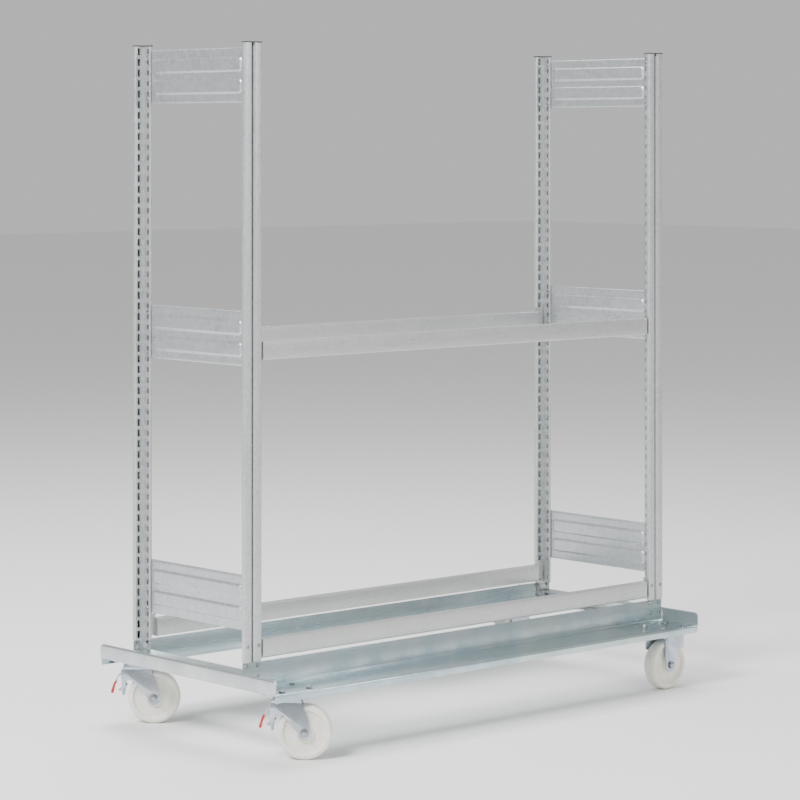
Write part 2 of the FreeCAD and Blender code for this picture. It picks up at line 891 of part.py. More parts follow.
# ---- fasteners ------------------------------------------------------------
def hex_prism(name, radius, height, x, y, z):
    """Hexagonal prism standing on its low face."""
    item = doc.addObject("Part::Prism", name)
    item.Polygon = 6
    item.Circumradius = number(radius)
    item.Height = number(height)
    item.setExpression("Circumradius", formula(radius))
    item.setExpression("Height", formula(height))
    place(item, x, y, z)
    return item


def round_bar(name, radius, height, x, y, z):
    """Cylinder standing on its low face."""
    item = doc.addObject("Part::Cylinder", name)
    item.Radius = number(radius)
    item.Height = number(height)
    item.setExpression("Radius", formula(radius))
    item.setExpression("Height", formula(height))
    place(item, x, y, z)
    return item


def lay_towards_y(item):
    """Turn a standing fastener so that its axis points along +Y."""
    item.Placement = FreeCAD.Placement(
        item.Placement.Base, FreeCAD.Rotation(FreeCAD.Vector(1, 0, 0), -90)
    )


def lay_towards_x(item):
    """Turn a standing fastener so that its axis points along +X."""
    item.Placement = FreeCAD.Placement(
        item.Placement.Base, FreeCAD.Rotation(FreeCAD.Vector(0, 1, 0), 90)
    )


def castor_spots():
    """Sheet names for the four castor bolts of each castor corner."""
    spots = []
    for side in ("-", ""):
        for x in ("castor_bolt_near", "castor_bolt_far"):
            for y in ("-bolt_front_in", "-bolt_front_out", "bolt_rear_in",
                      "bolt_rear_out"):
                spots.append((side + x, y))
    return spots


def make_castor_bolts():
    """Hexagon bolts through the rail shelf and the castor plates."""
    bolts = []
    nuts = []
    for i, (x, y) in enumerate(castor_spots()):
        head = hex_prism(
            f"castor_bolt_head_{i}", "bolt_hex_r", "bolt_head", x, y,
            "rail_web_top",
        )
        shank = round_bar(
            f"castor_bolt_shank_{i}", "bolt_r", "bolt_length", x, y,
            "bolt_tip_z",
        )
        bolts.append(fused(f"castor_bolt_{i}", [head, shank]))
        outer = hex_prism(
            f"castor_nut_outer_{i}", "bolt_hex_r", "bolt_nut", x, y,
            "bolt_nut_z",
        )
        hole = round_bar(
            f"castor_nut_hole_{i}", "nut_hole_r", "bolt_nut", x, y,
            "bolt_nut_z",
        )
        nut = doc.addObject("Part::Cut", f"castor_nut_{i}")
        nut.Base = outer
        nut.Tool = hole
        nuts.append(nut)
    nodes.append(solid_group("castor_bolts", bolts))
    nodes.append(solid_group("castor_nuts", nuts))


def make_foot_screws():
    """Screws that hold the foot brackets to the rails and uprights."""
    groups = []
    for corner, x, y, rear in CORNERS:
        screws = []
        for side in ("-", ""):
            for level in ("high", "low"):
                name = f"foot_screw_{corner}_{len(screws)}"
                parts = [
                    round_bar(
                        name + "_head", "screw_head_r", "screw_head",
                        side + "foot_hole_x", "screw_head_y",
                        f"-foot_bolt_{level}",
                    ),
                    round_bar(
                        name + "_shank", "foot_shank_r", "foot_shank",
                        side + "foot_hole_x", "rail_face",
                        f"-foot_bolt_{level}",
                    ),
                    hex_prism(
                        name + "_nut", "screw_nut_r", "screw_nut",
                        side + "foot_hole_x", "bracket_back",
                        f"-foot_bolt_{level}",
                    ),
                ]
                for part in parts:
                    lay_towards_y(part)
                screws.append(fused(name, parts))
            name = f"foot_screw_{corner}_{len(screws)}"
            parts = [
                round_bar(
                    name + "_head", "small_head_r", "small_head",
                    side + "foot_hole_x", "-small_head", "foot_hole_up",
                ),
                round_bar(
                    name + "_shank", "small_shank_r", "prong_screw_length",
                    side + "foot_hole_x", "0", "foot_hole_up",
                ),
            ]
            for part in parts:
                lay_towards_y(part)
            screws.append(fused(name, parts))
        group = solid_group("foot_screws_" + corner, screws)
        put = half_turn if rear else place
        put(group, x, y, "foot_level")
        groups.append(group)
    nodes.append(solid_group("foot_screws", groups))


def make_panel_screws():
    """Screws and nuts that hold the side panels to the upright stems."""
    groups = []
    for side, x in (("left", "-half_pitch"), ("right", "half_pitch")):
        for level in ("low", "mid", "top"):
            screws = []
            for sign in ("-", ""):
                for row in ("panel_screw_low", "panel_screw_high"):
                    name = f"panel_screw_{side}_{level}_{len(screws)}"
                    y = sign + "panel_screw_y"
                    parts = [
                        round_bar(
                            name + "_head", "small_head_r", "small_head",
                            "-small_head_x", y, row,
                        ),
                        round_bar(
                            name + "_shank", "small_screw_r",
                            "panel_screw_length", "-stem_half", y, row,
                        ),
                        hex_prism(
                            name + "_nut", "screw_nut_r", "small_nut",
                            "panel_nut_x", y, row,
                        ),
                    ]
                    for part in parts:
                        lay_towards_x(part)
                    screws.append(fused(name, parts))
            group = solid_group(f"panel_screws_{side}_{level}", screws)
            place(group, x, "mid_y", f"panel_{level}_z")
            groups.append(group)
    nodes.append(solid_group("panel_screws", groups))


make_castor_bolts()
make_foot_screws()
make_panel_screws()


# ---- castors --------------------------------------------------------------
def make_castor_wheel(label, x, y, turn):
    """Solid nylon wheel turned about its own Y axis."""
    body = new_body(label)
    half = [
        ("hub_bore_r", "hub_half"),
        ("hub_r", "hub_half"),
        ("web_in_r", "web_half"),
        ("web_out_r", "web_half"),
        ("rim_in_r", "rim_half"),
        ("rim_side_r", "rim_side_half"),
        ("rim_corner_r", "rim_corner_half"),
        ("wheel_r", "tread_half"),
    ]
    section = [(r, "-" + w) for r, w in half] + list(reversed(half))
    sketch = new_sketch(body, label + "_section", "XY_Plane", [section])
    spin = body.newObject("PartDesign::Revolution", label + "_turned")
    spin.Profile = sketch
    spin.ReferenceAxis = (origin_feature(body, "Y_Axis"), [""])
    spin.Angle = 360
    place(body, x, y, "wheel_r", turn)
    nodes.append(body)


def make_axle(label, x, y, turn):
    """Axle bolt with its spacer tube and hexagonal ends, along Y."""
    body = new_body(label)
    shaft = ("circle", "0", "0", "axle_r")
    tube = ("circle", "0", "0", "axle_tube_r")
    head = [
        ("axle_hex_r", "0"),
        ("axle_hex_x", "axle_hex_z"),
        ("-axle_hex_x", "axle_hex_z"),
        ("-axle_hex_r", "0"),
        ("-axle_hex_x", "-axle_hex_z"),
        ("axle_hex_x", "-axle_hex_z"),
    ]
    pad(
        body, label + "_shaft", "XZ_Plane", [shaft], "axle_length",
        both_ways=True,
    )
    pad(
        body, label + "_tube", "XZ_Plane", [tube], "axle_tube", both_ways=True
    )
    pad(body, label + "_nut", "XZ_Plane", [head], "axle_head", "leg_out")
    pad(body, label + "_head", "XZ_Plane", [head], "axle_head", "-axle_half")
    place(body, x, y, "wheel_r", turn)
    nodes.append(body)


def make_base_plate(label, x, y):
    """Castor top plate with four bolt holes."""
    body = new_body(label)
    loops = [rectangle("-base_half_x", "-base_half_y", "base_half_x",
                       "base_half_y")]
    for sx in ("-", ""):
        for sy in ("-", ""):
            loops.append(
                ("circle", sx + "bolt_half_x", sy + "bolt_half_y",
                 "bolt_hole_r")
            )
    pad(body, label + "_sheet", "XY_Plane", loops, "plate_thick", "base_low")
    place(body, x, y)
    nodes.append(body)


def make_race(label, x, y):
    """Upper ring of the swivel bearing, pressed under the plate."""
    body = new_body(label)
    ring = [("circle", "0", "0", "race_out"), ("circle", "0", "0", "race_in")]
    pad(body, label + "_ring", "XY_Plane", ring, "race_height", "race_low")
    place(body, x, y)
    nodes.append(body)


def make_kingpin(label, x, y):
    """Pin on which the castor swivels, with its retaining head."""
    body = new_body(label)
    pin = ("circle", "0", "0", "kingpin_r")
    head = ("circle", "0", "0", "kingpin_head_r")
    pad(
        body, label + "_pin", "XY_Plane", [pin], "kingpin_length",
        "kingpin_low",
    )
    pad(
        body, label + "_head", "XY_Plane", [head], "kingpin_head",
        "kingpin_low",
    )
    place(body, x, y)
    nodes.append(body)


def make_swivel_fork(label, x, y):
    """Pressed fork: round crown, two raked legs and ears for the brake."""
    body = new_body(label)
    side = [
        ("-fork_head_half", "crown_top"),
        ("fork_head_half", "crown_top"),
        ("leg_end_back", "wheel_r"),
        ("leg_end_front", "wheel_r"),
        ("-fork_throat_x", "fork_throat_z"),
        ("-fork_ear_x", "fork_ear_low"),
        ("-fork_ear_x", "fork_ear_top"),
    ]
    pad(
        body, label + "_side", "XZ_Plane", [side], "fork_width",
        both_ways=True,
    )
    end = ("circle", "trail", "wheel_r", "leg_end_r")
    pad(body, label + "_end", "XZ_Plane", [end], "fork_width", both_ways=True)
    inside = rectangle(
        "-fork_clear_x", "fork_clear_z", "fork_clear_x", "crown_low"
    )
    pocket(
        body, label + "_inside", "XZ_Plane", [inside], "fork_inside",
        both_ways=True,
    )
    crown = ("circle", "0", "0", "crown_r")
    pad(
        body, label + "_crown", "XY_Plane", [crown], "crown_thick",
        "crown_low",
    )
    bore = ("circle", "0", "0", "crown_bore_r")
    pocket(
        body, label + "_bore", "XY_Plane", [bore], "crown_cut",
        "crown_cut_from",
    )
    hole = ("circle", "trail", "wheel_r", "axle_hole_r")
    pocket(
        body, label + "_axle_hole", "XZ_Plane", [hole], "fork_cut",
        both_ways=True,
    )
    pin = ("circle", "-brake_x", "brake_z", "brake_pin_r")
    pad(
        body, label + "_brake_pin", "XZ_Plane", [pin], "fork_width",
        both_ways=True,
    )
    place(body, x, y, "0", "-castor_turn")
    nodes.append(body)


def make_brake_lever(label, x, y):
    """Foot lever with its barrel on the pin and the shoe at the tread."""
    body = new_body(label)
    lever = [
        ("-brake_x", "lever_top_a"),
        ("-lever_b_x", "lever_b_z"),
        ("-lever_c_x", "lever_c_z"),
        ("-lever_d_x", "lever_d_z"),
        ("-lever_e_x", "lever_e_z"),
        ("-lever_f_x", "lever_f_z"),
        ("-lever_g_x", "lever_g_z"),
        ("-brake_x", "lever_g_z"),
    ]
    pad(
        body, label + "_strip", "XZ_Plane", [lever], "lever_width",
        both_ways=True,
    )
    arm = rectangle("-arm_left", "arm_low", "-arm_right", "arm_top")
    pad(
        body, label + "_arm", "XZ_Plane", [arm], "shoe_width", both_ways=True
    )
    shoe = rectangle("-shoe_left", "shoe_low", "-shoe_right", "shoe_top")
    pad(
        body, label + "_shoe", "XZ_Plane", [shoe], "shoe_width",
        both_ways=True,
    )
    sweep = ("circle", "trail", "wheel_r", "shoe_gap_r")
    pocket(
        body, label + "_shoe_face", "XZ_Plane", [sweep], "fork_inside",
        both_ways=True,
    )
    barrel = ("circle", "-brake_x", "brake_z", "brake_barrel_r")
    pad(
        body, label + "_barrel", "XZ_Plane", [barrel], "brake_barrel",
        both_ways=True,
    )
    bore = ("circle", "-brake_x", "brake_z", "brake_bore_r")
    pocket(
        body, label + "_bore", "XZ_Plane", [bore], "fork_cut",
        both_ways=True,
    )
    place(body, x, y, "0", "-castor_turn")
    nodes.append(body)


def make_brake_grip(label, x, y):
    """Coloured plastic tip on the end of the brake lever."""
    body = new_body(label)
    outline = [
        ("-lever_e_x", "lever_e_z"),
        ("-lever_d_x", "lever_d_z"),
        ("-grip_b_x", "grip_b_z"),
        ("-grip_c_x", "grip_c_z"),
        ("-grip_d_x", "grip_d_z"),
        ("-grip_e_x", "grip_e_z"),
        ("-grip_f_x", "grip_f_z"),
        ("-grip_a_x", "grip_a_z"),
    ]
    pad(
        body, label + "_tip", "XZ_Plane", [outline], "grip_width",
        both_ways=True,
    )
    place(body, x, y, "0", "-castor_turn")
    nodes.append(body)


def make_fixed_fork(label, x, y):
    """Fixed castor fork: plate and two opposite-handed winged legs."""
    body = new_body(label)
    loops = [rectangle("-base_half_x", "-base_half_y", "base_half_x",
                       "base_half_y")]
    for sx in ("-", ""):
        for sy in ("-", ""):
            loops.append(
                ("circle", sx + "bolt_half_x", sy + "bolt_half_y",
                 "bolt_hole_r")
            )
    pad(body, label + "_plate", "XY_Plane", loops, "plate_thick", "base_low")
    for side, hand, start in (
        ("near", "", "-leg_out"),
        ("far", "-", "leg_in"),
    ):
        back = "-" if hand == "" else ""
        leg = [
            (back + "strut_half", "wing_top_z"),
            (hand + "wing_top_x", "wing_top_z"),
            (hand + "wing_mid_x", "wing_mid_z"),
            (hand + "strut_half", "wheel_r"),
            (back + "strut_half", "wheel_r"),
        ]
        pad(
            body, f"{label}_{side}_leg", "XZ_Plane", [leg], "leg_thick",
            start,
        )
        end = ("circle", "0", "wheel_r", "strut_half")
        pad(
            body, f"{label}_{side}_end", "XZ_Plane", [end], "leg_thick",
            start,
        )
    hole = ("circle", "0", "wheel_r", "axle_hole_r")
    pocket(
        body, label + "_axle_hole", "XZ_Plane", [hole], "fork_cut",
        both_ways=True,
    )
    place(body, x, y)
    nodes.append(body)


SWIVELS = [
    ("front_left", "-castor_x", "-castor_front_y", "-wheel_front_y"),
    ("rear_left", "-castor_x", "castor_rear_y", "wheel_rear_y"),
]
for corner, castor_px, castor_py, wheel_py in SWIVELS:
    make_base_plate("castor_plate_" + corner, castor_px, castor_py)
    make_race("castor_race_" + corner, castor_px, castor_py)
    make_kingpin("castor_kingpin_" + corner, castor_px, castor_py)
    make_swivel_fork("castor_fork_" + corner, castor_px, castor_py)
    make_axle("castor_axle_" + corner, "-wheel_left_x", wheel_py,
              "-castor_turn")
    make_castor_wheel("castor_wheel_" + corner, "-wheel_left_x", wheel_py,
                      "-castor_turn")
    make_brake_lever("brake_lever_" + corner, castor_px, castor_py)
    make_brake_grip("brake_grip_" + corner, castor_px, castor_py)

FIXED = [
    ("front_right", "castor_x", "-castor_front_y"),
    ("rear_right", "castor_x", "castor_rear_y"),
]
for corner, castor_px, castor_py in FIXED:
    make_fixed_fork("castor_fork_" + corner, castor_px, castor_py)
    make_axle("castor_axle_" + corner, castor_px, castor_py, "0")
    make_castor_wheel("castor_wheel_" + corner, castor_px, castor_py, "0")


# ---- check and write ------------------------------------------------------
doc.recompute()
bad = []
for item in doc.Objects:
    if "Invalid" in item.State or "Error" in item.State:
        bad.append(f"{item.Label}: {item.State}")
for node in nodes:
    if node.Shape.isNull() or not node.Shape.isValid():
        bad.append(f"{node.Label}: shape is not valid")
    if not node.Shape.Solids:
        bad.append(f"{node.Label}: no solid")
if bad:
    raise RuntimeError("; ".join(bad))

os.makedirs("parts", exist_ok=True)
for node in nodes:
    node.Shape.exportStep(f"parts/{node.Label}.step")
    bounds = node.Shape.BoundBox
    print(
        f"{node.Label}: {len(node.Shape.Solids)} solids, "
        f"x {bounds.XMin:.1f}..{bounds.XMax:.1f}, "
        f"y {bounds.YMin:.1f}..{bounds.YMax:.1f}, "
        f"z {bounds.ZMin:.1f}..{bounds.ZMax:.1f}"
    )
print(f"{len(nodes)} nodes written")
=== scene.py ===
"""Looks of a mobile tyre rack: folded galvanised steel on nylon castors.

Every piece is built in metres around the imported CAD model, in its frame.
Sizes inside the classes are in millimetres and are turned to metres once,
where a mesh is made.
"""
import json
import logging
import math
from collections.abc import Callable, Sequence
from dataclasses import dataclass, field
from enum import Enum
from functools import cache

import bmesh
import bpy
from mathutils import Matrix, Vector


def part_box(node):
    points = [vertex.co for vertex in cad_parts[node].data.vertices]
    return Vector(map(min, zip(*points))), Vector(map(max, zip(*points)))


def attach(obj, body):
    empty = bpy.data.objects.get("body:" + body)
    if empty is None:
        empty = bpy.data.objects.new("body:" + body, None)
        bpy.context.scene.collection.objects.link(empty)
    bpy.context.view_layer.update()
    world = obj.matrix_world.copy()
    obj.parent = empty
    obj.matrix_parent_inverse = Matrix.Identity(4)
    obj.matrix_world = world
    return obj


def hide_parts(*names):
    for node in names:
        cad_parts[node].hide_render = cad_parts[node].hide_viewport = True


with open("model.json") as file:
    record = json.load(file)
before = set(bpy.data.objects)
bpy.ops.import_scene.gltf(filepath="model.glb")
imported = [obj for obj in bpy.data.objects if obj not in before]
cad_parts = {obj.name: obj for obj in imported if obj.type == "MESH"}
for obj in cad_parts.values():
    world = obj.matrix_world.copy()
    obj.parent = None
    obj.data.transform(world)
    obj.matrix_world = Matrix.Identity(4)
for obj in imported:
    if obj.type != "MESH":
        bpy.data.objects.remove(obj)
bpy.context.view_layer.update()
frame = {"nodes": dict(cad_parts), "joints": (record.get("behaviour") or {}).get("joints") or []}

LOG = logging.getLogger("tyre_rack")
MM = 0.001
FRAME_BODY = "frame"

Place = Callable[[float, float, float], tuple[float, float, float]]
Outline = list[tuple[float, float]]


# ---------------------------------------------------------------- colours
def linear(hex_colour: str) -> tuple[float, float, float, float]:
    """Turn an sRGB hex colour into linear RGBA.

    Args:
        hex_colour: six hex digits after a hash sign.

    Returns:
        Red, green, blue and an alpha of one, all linear.
    """
    channels = []
    for start in (1, 3, 5):
        value = int(hex_colour[start : start + 2], 16) / 255
        low = value / 12.92
        high = ((value + 0.055) / 1.055) ** 2.4
        channels.append(low if value <= 0.04045 else high)
    return (channels[0], channels[1], channels[2], 1.0)


def add_node(
    tree: bpy.types.NodeTree,
    kind: str,
    inputs: dict[str | int, object] | None = None,
    **settings: object,
) -> bpy.types.Node:
    """Add one node with its settings, input values and links.

    Args:
        tree: the tree that gets the node.
        kind: the node's type name.
        inputs: value or output socket for each input, by name or number.
        **settings: attributes of the node.

    Returns:
        The new node.
    """
    node = tree.nodes.new(kind)
    for name, value in settings.items():
        setattr(node, name, value)
    for key, value in (inputs or {}).items():
        if isinstance(value, bpy.types.NodeSocket):
            tree.links.new(value, node.inputs[key])
        else:
            node.inputs[key].default_value = value
    return node


# --------------------------------------------------------------- finishes
@dataclass(frozen=True)
class Finish:
    """A named surface finish and the record slot it belongs to."""

    name: str
    slot: str

    def material(self) -> bpy.types.Material:
        """Return the material, made the first time it is asked for."""
        found = bpy.data.materials.get(self.name)
        if found is not None:
            return found
        made = bpy.data.materials.new(self.name)
        made.use_nodes = True
        made.node_tree.nodes.clear()
        shader = add_node(made.node_tree, "ShaderNodeBsdfPrincipled")
        add_node(
            made.node_tree,
            "ShaderNodeOutputMaterial",
            {"Surface": shader.outputs["BSDF"]},
        )
        self.dress(made.node_tree, shader)
        return made

    def dress(self, tree: bpy.types.NodeTree, shader: bpy.types.Node) -> None:
        """Wire the finish into the shader."""
        raise NotImplementedError


def object_coordinates(
    tree: bpy.types.NodeTree, stretch: tuple[float, float, float]
) -> bpy.types.NodeSocket:
    """Object coordinates scaled along each axis.

    Args:
        tree: the material's tree.
        stretch: factor along X, Y and Z.

    Returns:
        The vector output.
    """
    place = add_node(tree, "ShaderNodeTexCoord")
    scaled = add_node(
        tree,
        "ShaderNodeMapping",
        {"Vector": place.outputs["Object"], "Scale": stretch},
    )
    return scaled.outputs["Vector"]


def spread(
    tree: bpy.types.NodeTree,
    source: bpy.types.NodeSocket,
    low: float,
    high: float,
    source_low: float = 0.0,
    source_high: float = 1.0,
) -> bpy.types.NodeSocket:
    """Map a value from one range to another.

    Args:
        tree: the material's tree.
        source: the value.
        low: result at source_low.
        high: result at source_high.
        source_low: lower end of the source range.
        source_high: upper end of the source range.

    Returns:
        The mapped value.
    """
    node = add_node(
        tree,
        "ShaderNodeMapRange",
        {
            "Value": source,
            "From Min": source_low,
            "From Max": source_high,
            "To Min": low,
            "To Max": high,
        },
    )
    return node.outputs["Result"]


def blend_colours(
    tree: bpy.types.NodeTree,
    factor: bpy.types.NodeSocket,
    first: object,
    second: object,
) -> bpy.types.NodeSocket:
    """Mix two colours.

    Args:
        tree: the material's tree.
        factor: share of the second colour.
        first: colour or socket at zero.
        second: colour or socket at one.

    Returns:
        The mixed colour.
    """
    node = add_node(
        tree, "ShaderNodeMix", {0: factor, 6: first, 7: second}, data_type="RGBA"
    )
    return node.outputs[2]


@dataclass(frozen=True)
class GalvanisedSheet(Finish):
    """Steel strip dipped in zinc: pale satin with soft crystal spangle.

    The crystals of mill-galvanised strip are a few millimetres across, and
    each one mirrors a little differently, which gives the faint mottling.
    Rolling leaves fine streaks along the strip.
    """

    light: str = "#cfd1d2"
    dark: str = "#b2b7ba"
    spangle_mm: float = 5.0
    streak_mm: float = 1.5
    roughness: float = 0.42
    along: tuple[float, float, float] = (1.0, 1.0, 0.04)

    def dress(self, tree: bpy.types.NodeTree, shader: bpy.types.Node) -> None:
        """Wire spangle, rolling streaks and a hint of relief."""
        plain = object_coordinates(tree, (1.0, 1.0, 1.0))
        crystals = add_node(
            tree,
            "ShaderNodeTexVoronoi",
            {"Vector": plain, "Scale": 1 / (self.spangle_mm * MM)},
        )
        shade = add_node(
            tree, "ShaderNodeSeparateColor", {0: crystals.outputs["Color"]}
        )
        clouds = add_node(
            tree,
            "ShaderNodeTexNoise",
            {"Vector": plain, "Scale": 9.0, "Detail": 4.0},
        )
        streaks = add_node(
            tree,
            "ShaderNodeTexNoise",
            {
                "Vector": object_coordinates(tree, self.along),
                "Scale": 1 / (self.streak_mm * MM),
                "Detail": 3.0,
            },
        )
        tone = add_node(
            tree,
            "ShaderNodeMath",
            {0: shade.outputs[0], 1: clouds.outputs["Fac"]},
            operation="MULTIPLY",
        )
        colour = blend_colours(
            tree, tone.outputs[0], linear(self.light), linear(self.dark)
        )
        rough = add_node(
            tree,
            "ShaderNodeMath",
            {
                0: spread(tree, shade.outputs[1], -0.05, 0.05),
                1: spread(
                    tree,
                    streaks.outputs["Fac"],
                    self.roughness - 0.06,
                    self.roughness + 0.06,
                    0.3,
                    0.7,
                ),
            },
            operation="ADD",
        )
        relief = add_node(
            tree,
            "ShaderNodeBump",
            {
                "Height": streaks.outputs["Fac"],
                "Strength": 0.10,
                "Distance": 0.05 * MM,
            },
        )
        tree.links.new(colour, shader.inputs["Base Color"])
        tree.links.new(rough.outputs[0], shader.inputs["Roughness"])
        tree.links.new(relief.outputs["Normal"], shader.inputs["Normal"])
        shader.inputs["Metallic"].default_value = 0.85


@dataclass(frozen=True)
class BrightZinc(Finish):
    """Electroplated zinc: near mirror, with a cool blue-green passivation.

    The plating follows the sheet's rolling lines, and handling leaves fine
    scratches and duller patches.
    """

    light: str = "#c9d6d9"
    dark: str = "#a5bbc3"
    warm: str = "#cfd3c4"
    cloud_mm: float = 90.0
    scratch_mm: float = 0.8
    roughness: float = 0.2
    along: tuple[float, float, float] = (0.02, 1.0, 1.0)

    def dress(self, tree: bpy.types.NodeTree, shader: bpy.types.Node) -> None:
        """Wire tint clouds, rolling scratches and duller patches."""
        plain = object_coordinates(tree, (1.0, 1.0, 1.0))
        clouds = add_node(
            tree,
            "ShaderNodeTexNoise",
            {
                "Vector": plain,
                "Scale": 1 / (self.cloud_mm * MM),
                "Detail": 5.0,
                "Roughness": 0.6,
            },
        )
        tints = add_node(
            tree,
            "ShaderNodeTexNoise",
            {"Vector": plain, "Scale": 3.0, "Detail": 2.0},
        )
        scratches = add_node(
            tree,
            "ShaderNodeTexNoise",
            {
                "Vector": object_coordinates(tree, self.along),
                "Scale": 1 / (self.scratch_mm * MM),
                "Detail": 4.0,
            },
        )
        cool = blend_colours(
            tree,
            spread(tree, clouds.outputs["Fac"], 0.0, 1.0, 0.35, 0.65),
            linear(self.light),
            linear(self.dark),
        )
        colour = blend_colours(
            tree,
            spread(tree, tints.outputs["Fac"], 0.0, 0.35, 0.5, 0.75),
            cool,
            linear(self.warm),
        )
        rough = add_node(
            tree,
            "ShaderNodeMath",
            {
                0: spread(tree, clouds.outputs["Fac"], -0.05, 0.07, 0.3, 0.7),
                1: spread(
                    tree,
                    scratches.outputs["Fac"],
                    self.roughness - 0.03,
                    self.roughness + 0.05,
                    0.35,
                    0.7,
                ),
            },
            operation="ADD",
        )
        relief = add_node(
            tree,
            "ShaderNodeBump",
            {
                "Height": scratches.outputs["Fac"],
                "Strength": 0.08,
                "Distance": 0.03 * MM,
            },
        )
        tree.links.new(colour, shader.inputs["Base Color"])
        tree.links.new(rough.outputs[0], shader.inputs["Roughness"])
        tree.links.new(relief.outputs["Normal"], shader.inputs["Normal"])
        shader.inputs["Metallic"].default_value = 0.95


@dataclass(frozen=True)
class Moulded(Finish):
    """Moulded plastic: one body colour with a fine die grain.

    The eye sees an even colour, a soft highlight and, on nylon, a little
    light that travels under the surface.
    """

    light: str = "#eceae2"
    dark: str = "#dedbd0"
    grain_mm: float = 0.9
    roughness: float = 0.4
    relief: float = 0.15
    glow: float = 0.0

    def dress(self, tree: bpy.types.NodeTree, shader: bpy.types.Node) -> None:
        """Wire the body colour, the die grain and scuffed roughness."""
        plain = object_coordinates(tree, (1.0, 1.0, 1.0))
        scuffs = add_node(
            tree,
            "ShaderNodeTexNoise",
            {"Vector": plain, "Scale": 60.0, "Detail": 6.0, "Roughness": 0.6},
        )
        grain = add_node(
            tree,
            "ShaderNodeTexNoise",
            {
                "Vector": plain,
                "Scale": 1 / (self.grain_mm * MM),
                "Detail": 2.0,
            },
        )
        colour = blend_colours(
            tree,
            spread(tree, scuffs.outputs["Fac"], 0.0, 1.0, 0.4, 0.8),
            linear(self.light),
            linear(self.dark),
        )
        bump = add_node(
            tree,
            "ShaderNodeBump",
            {
                "Height": grain.outputs["Fac"],
                "Strength": self.relief,
                "Distance": 0.1 * MM,
            },
        )
        rough = spread(
            tree,
            scuffs.outputs["Fac"],
            self.roughness - 0.06,
            self.roughness + 0.1,
            0.3,
            0.8,
        )
        tree.links.new(colour, shader.inputs["Base Color"])
        tree.links.new(rough, shader.inputs["Roughness"])
        tree.links.new(bump.outputs["Normal"], shader.inputs["Normal"])
        if self.glow > 0:
            shader.inputs["Subsurface Weight"].default_value = self.glow
            shader.inputs["Subsurface Scale"].default_value = 4 * MM
            shader.inputs["Subsurface Radius"].default_value = (1.0, 0.9, 0.7)


class Finishes(Enum):
    """Every finish on the rack."""

    UPRIGHT = GalvanisedSheet("galvanised strip, upright", "galvanised_steel")
    PANEL = GalvanisedSheet(
        "galvanised sheet, panel",
        "panel_steel",
        light="#c9cdd0",
        dark="#adb4b9",
        spangle_mm=8.0,
        roughness=0.38,
        along=(1.0, 0.04, 1.0),
    )
    BEAM = GalvanisedSheet(
        "galvanised tube, beam",
        "beam_steel",
        light="#cdcecd",
        dark="#b9bcbc",
        spangle_mm=4.0,
        roughness=0.36,
        along=(0.04, 1.0, 1.0),
    )
    CHASSIS = BrightZinc("bright zinc plate, chassis", "chassis_zinc")
    # Same zinc plate as the chassis, painted lighter and less blue: the paler tone is painted
    # light, standing in for the light on the end rail's outer face.
    END_RAIL = BrightZinc(
        "bright zinc plate, end rail",
        "chassis_zinc",
        light="#d6d9da",
        dark="#c3cbcf",
        roughness=0.3,
        along=(1.0, 0.02, 1.0),
    )
    CASTOR = BrightZinc(
        "blue zinc pressing, castor",
        "castor_zinc",
        light="#c6ced8",
        dark="#a3afbc",
        warm="#d8d9cf",
        cloud_mm=30.0,
        roughness=0.26,
        along=(1.0, 1.0, 1.0),
    )
    FASTENER = BrightZinc(
        "bright zinc fastener",
        "bright_zinc",
        light="#b3b8ba",
        dark="#7f888d",
        warm="#c9c6b4",
        cloud_mm=12.0,
        roughness=0.24,
        along=(1.0, 1.0, 1.0),
    )
    NYLON = Moulded(
        "cast nylon, wheel", "nylon", roughness=0.38, relief=0.1, glow=0.18
    )
    GRIP = Moulded(
        "red polyamide, pedal tip",
        "red_plastic",
        light="#c22a22",
        dark="#a81f19",
        roughness=0.36,
        relief=0.3,
    )
    CAP = Moulded(
        "dark polyethylene, end cap",
        "cap_plastic",
        light="#45484a",
        dark="#3a3d3f",
        roughness=0.5,
        relief=0.3,
    )


# ---------------------------------------------------------------- shapes
@dataclass(frozen=True)
class Corner:
    """A corner of a folded sheet's middle line, in millimetres."""

    across: float
    up: float
    radius: float = 0.0
    slotted: bool = False


@dataclass(frozen=True)
class Sample:
    """A point of the middle line, its normal, and if a slot follows it."""

    point: Vector
    normal: Vector
    slotted: bool


def follow_corners(
    corners: Sequence[Corner], closed: bool = False, steps: int = 4
) -> list[Sample]:
    """Walk along a middle line, rounding each corner to its radius.

    Args:
        corners: the line's corners in order.
        closed: True if the last corner joins the first.
        steps: facets of each rounded corner.

    Returns:
        Points with their left-hand normals.
    """
    spots = [Vector((corner.across, corner.up)) for corner in corners]
    count = len(spots)
    samples = []
    for i, corner in enumerate(corners):
        here = spots[i]
        before = after = None
        if closed or i > 0:
            before = (here - spots[i - 1]).normalized()
        if closed or i < count - 1:
            after = (spots[(i + 1) % count] - here).normalized()
        before = before or after
        after = after or before
        turn = math.atan2(before.cross(after), before.dot(after))
        left = Vector((-before.y, before.x))
        if corner.radius == 0 or abs(turn) < 1e-6:
            mitre = (left + Vector((-after.y, after.x))).normalized()
            mitre = mitre / math.cos(turn / 2)
            samples.append(Sample(here, mitre, corner.slotted))
            continue
        side = math.copysign(corner.radius, turn)
        start = here - before * corner.radius * math.tan(abs(turn) / 2)
        centre = start + left * side
        for step in range(steps + 1):
            normal = left.copy()
            normal.rotate(Matrix.Rotation(turn * step / steps, 2))
            last = step == steps
            samples.append(
                Sample(centre - normal * side, normal, corner.slotted and last)
            )
    return samples


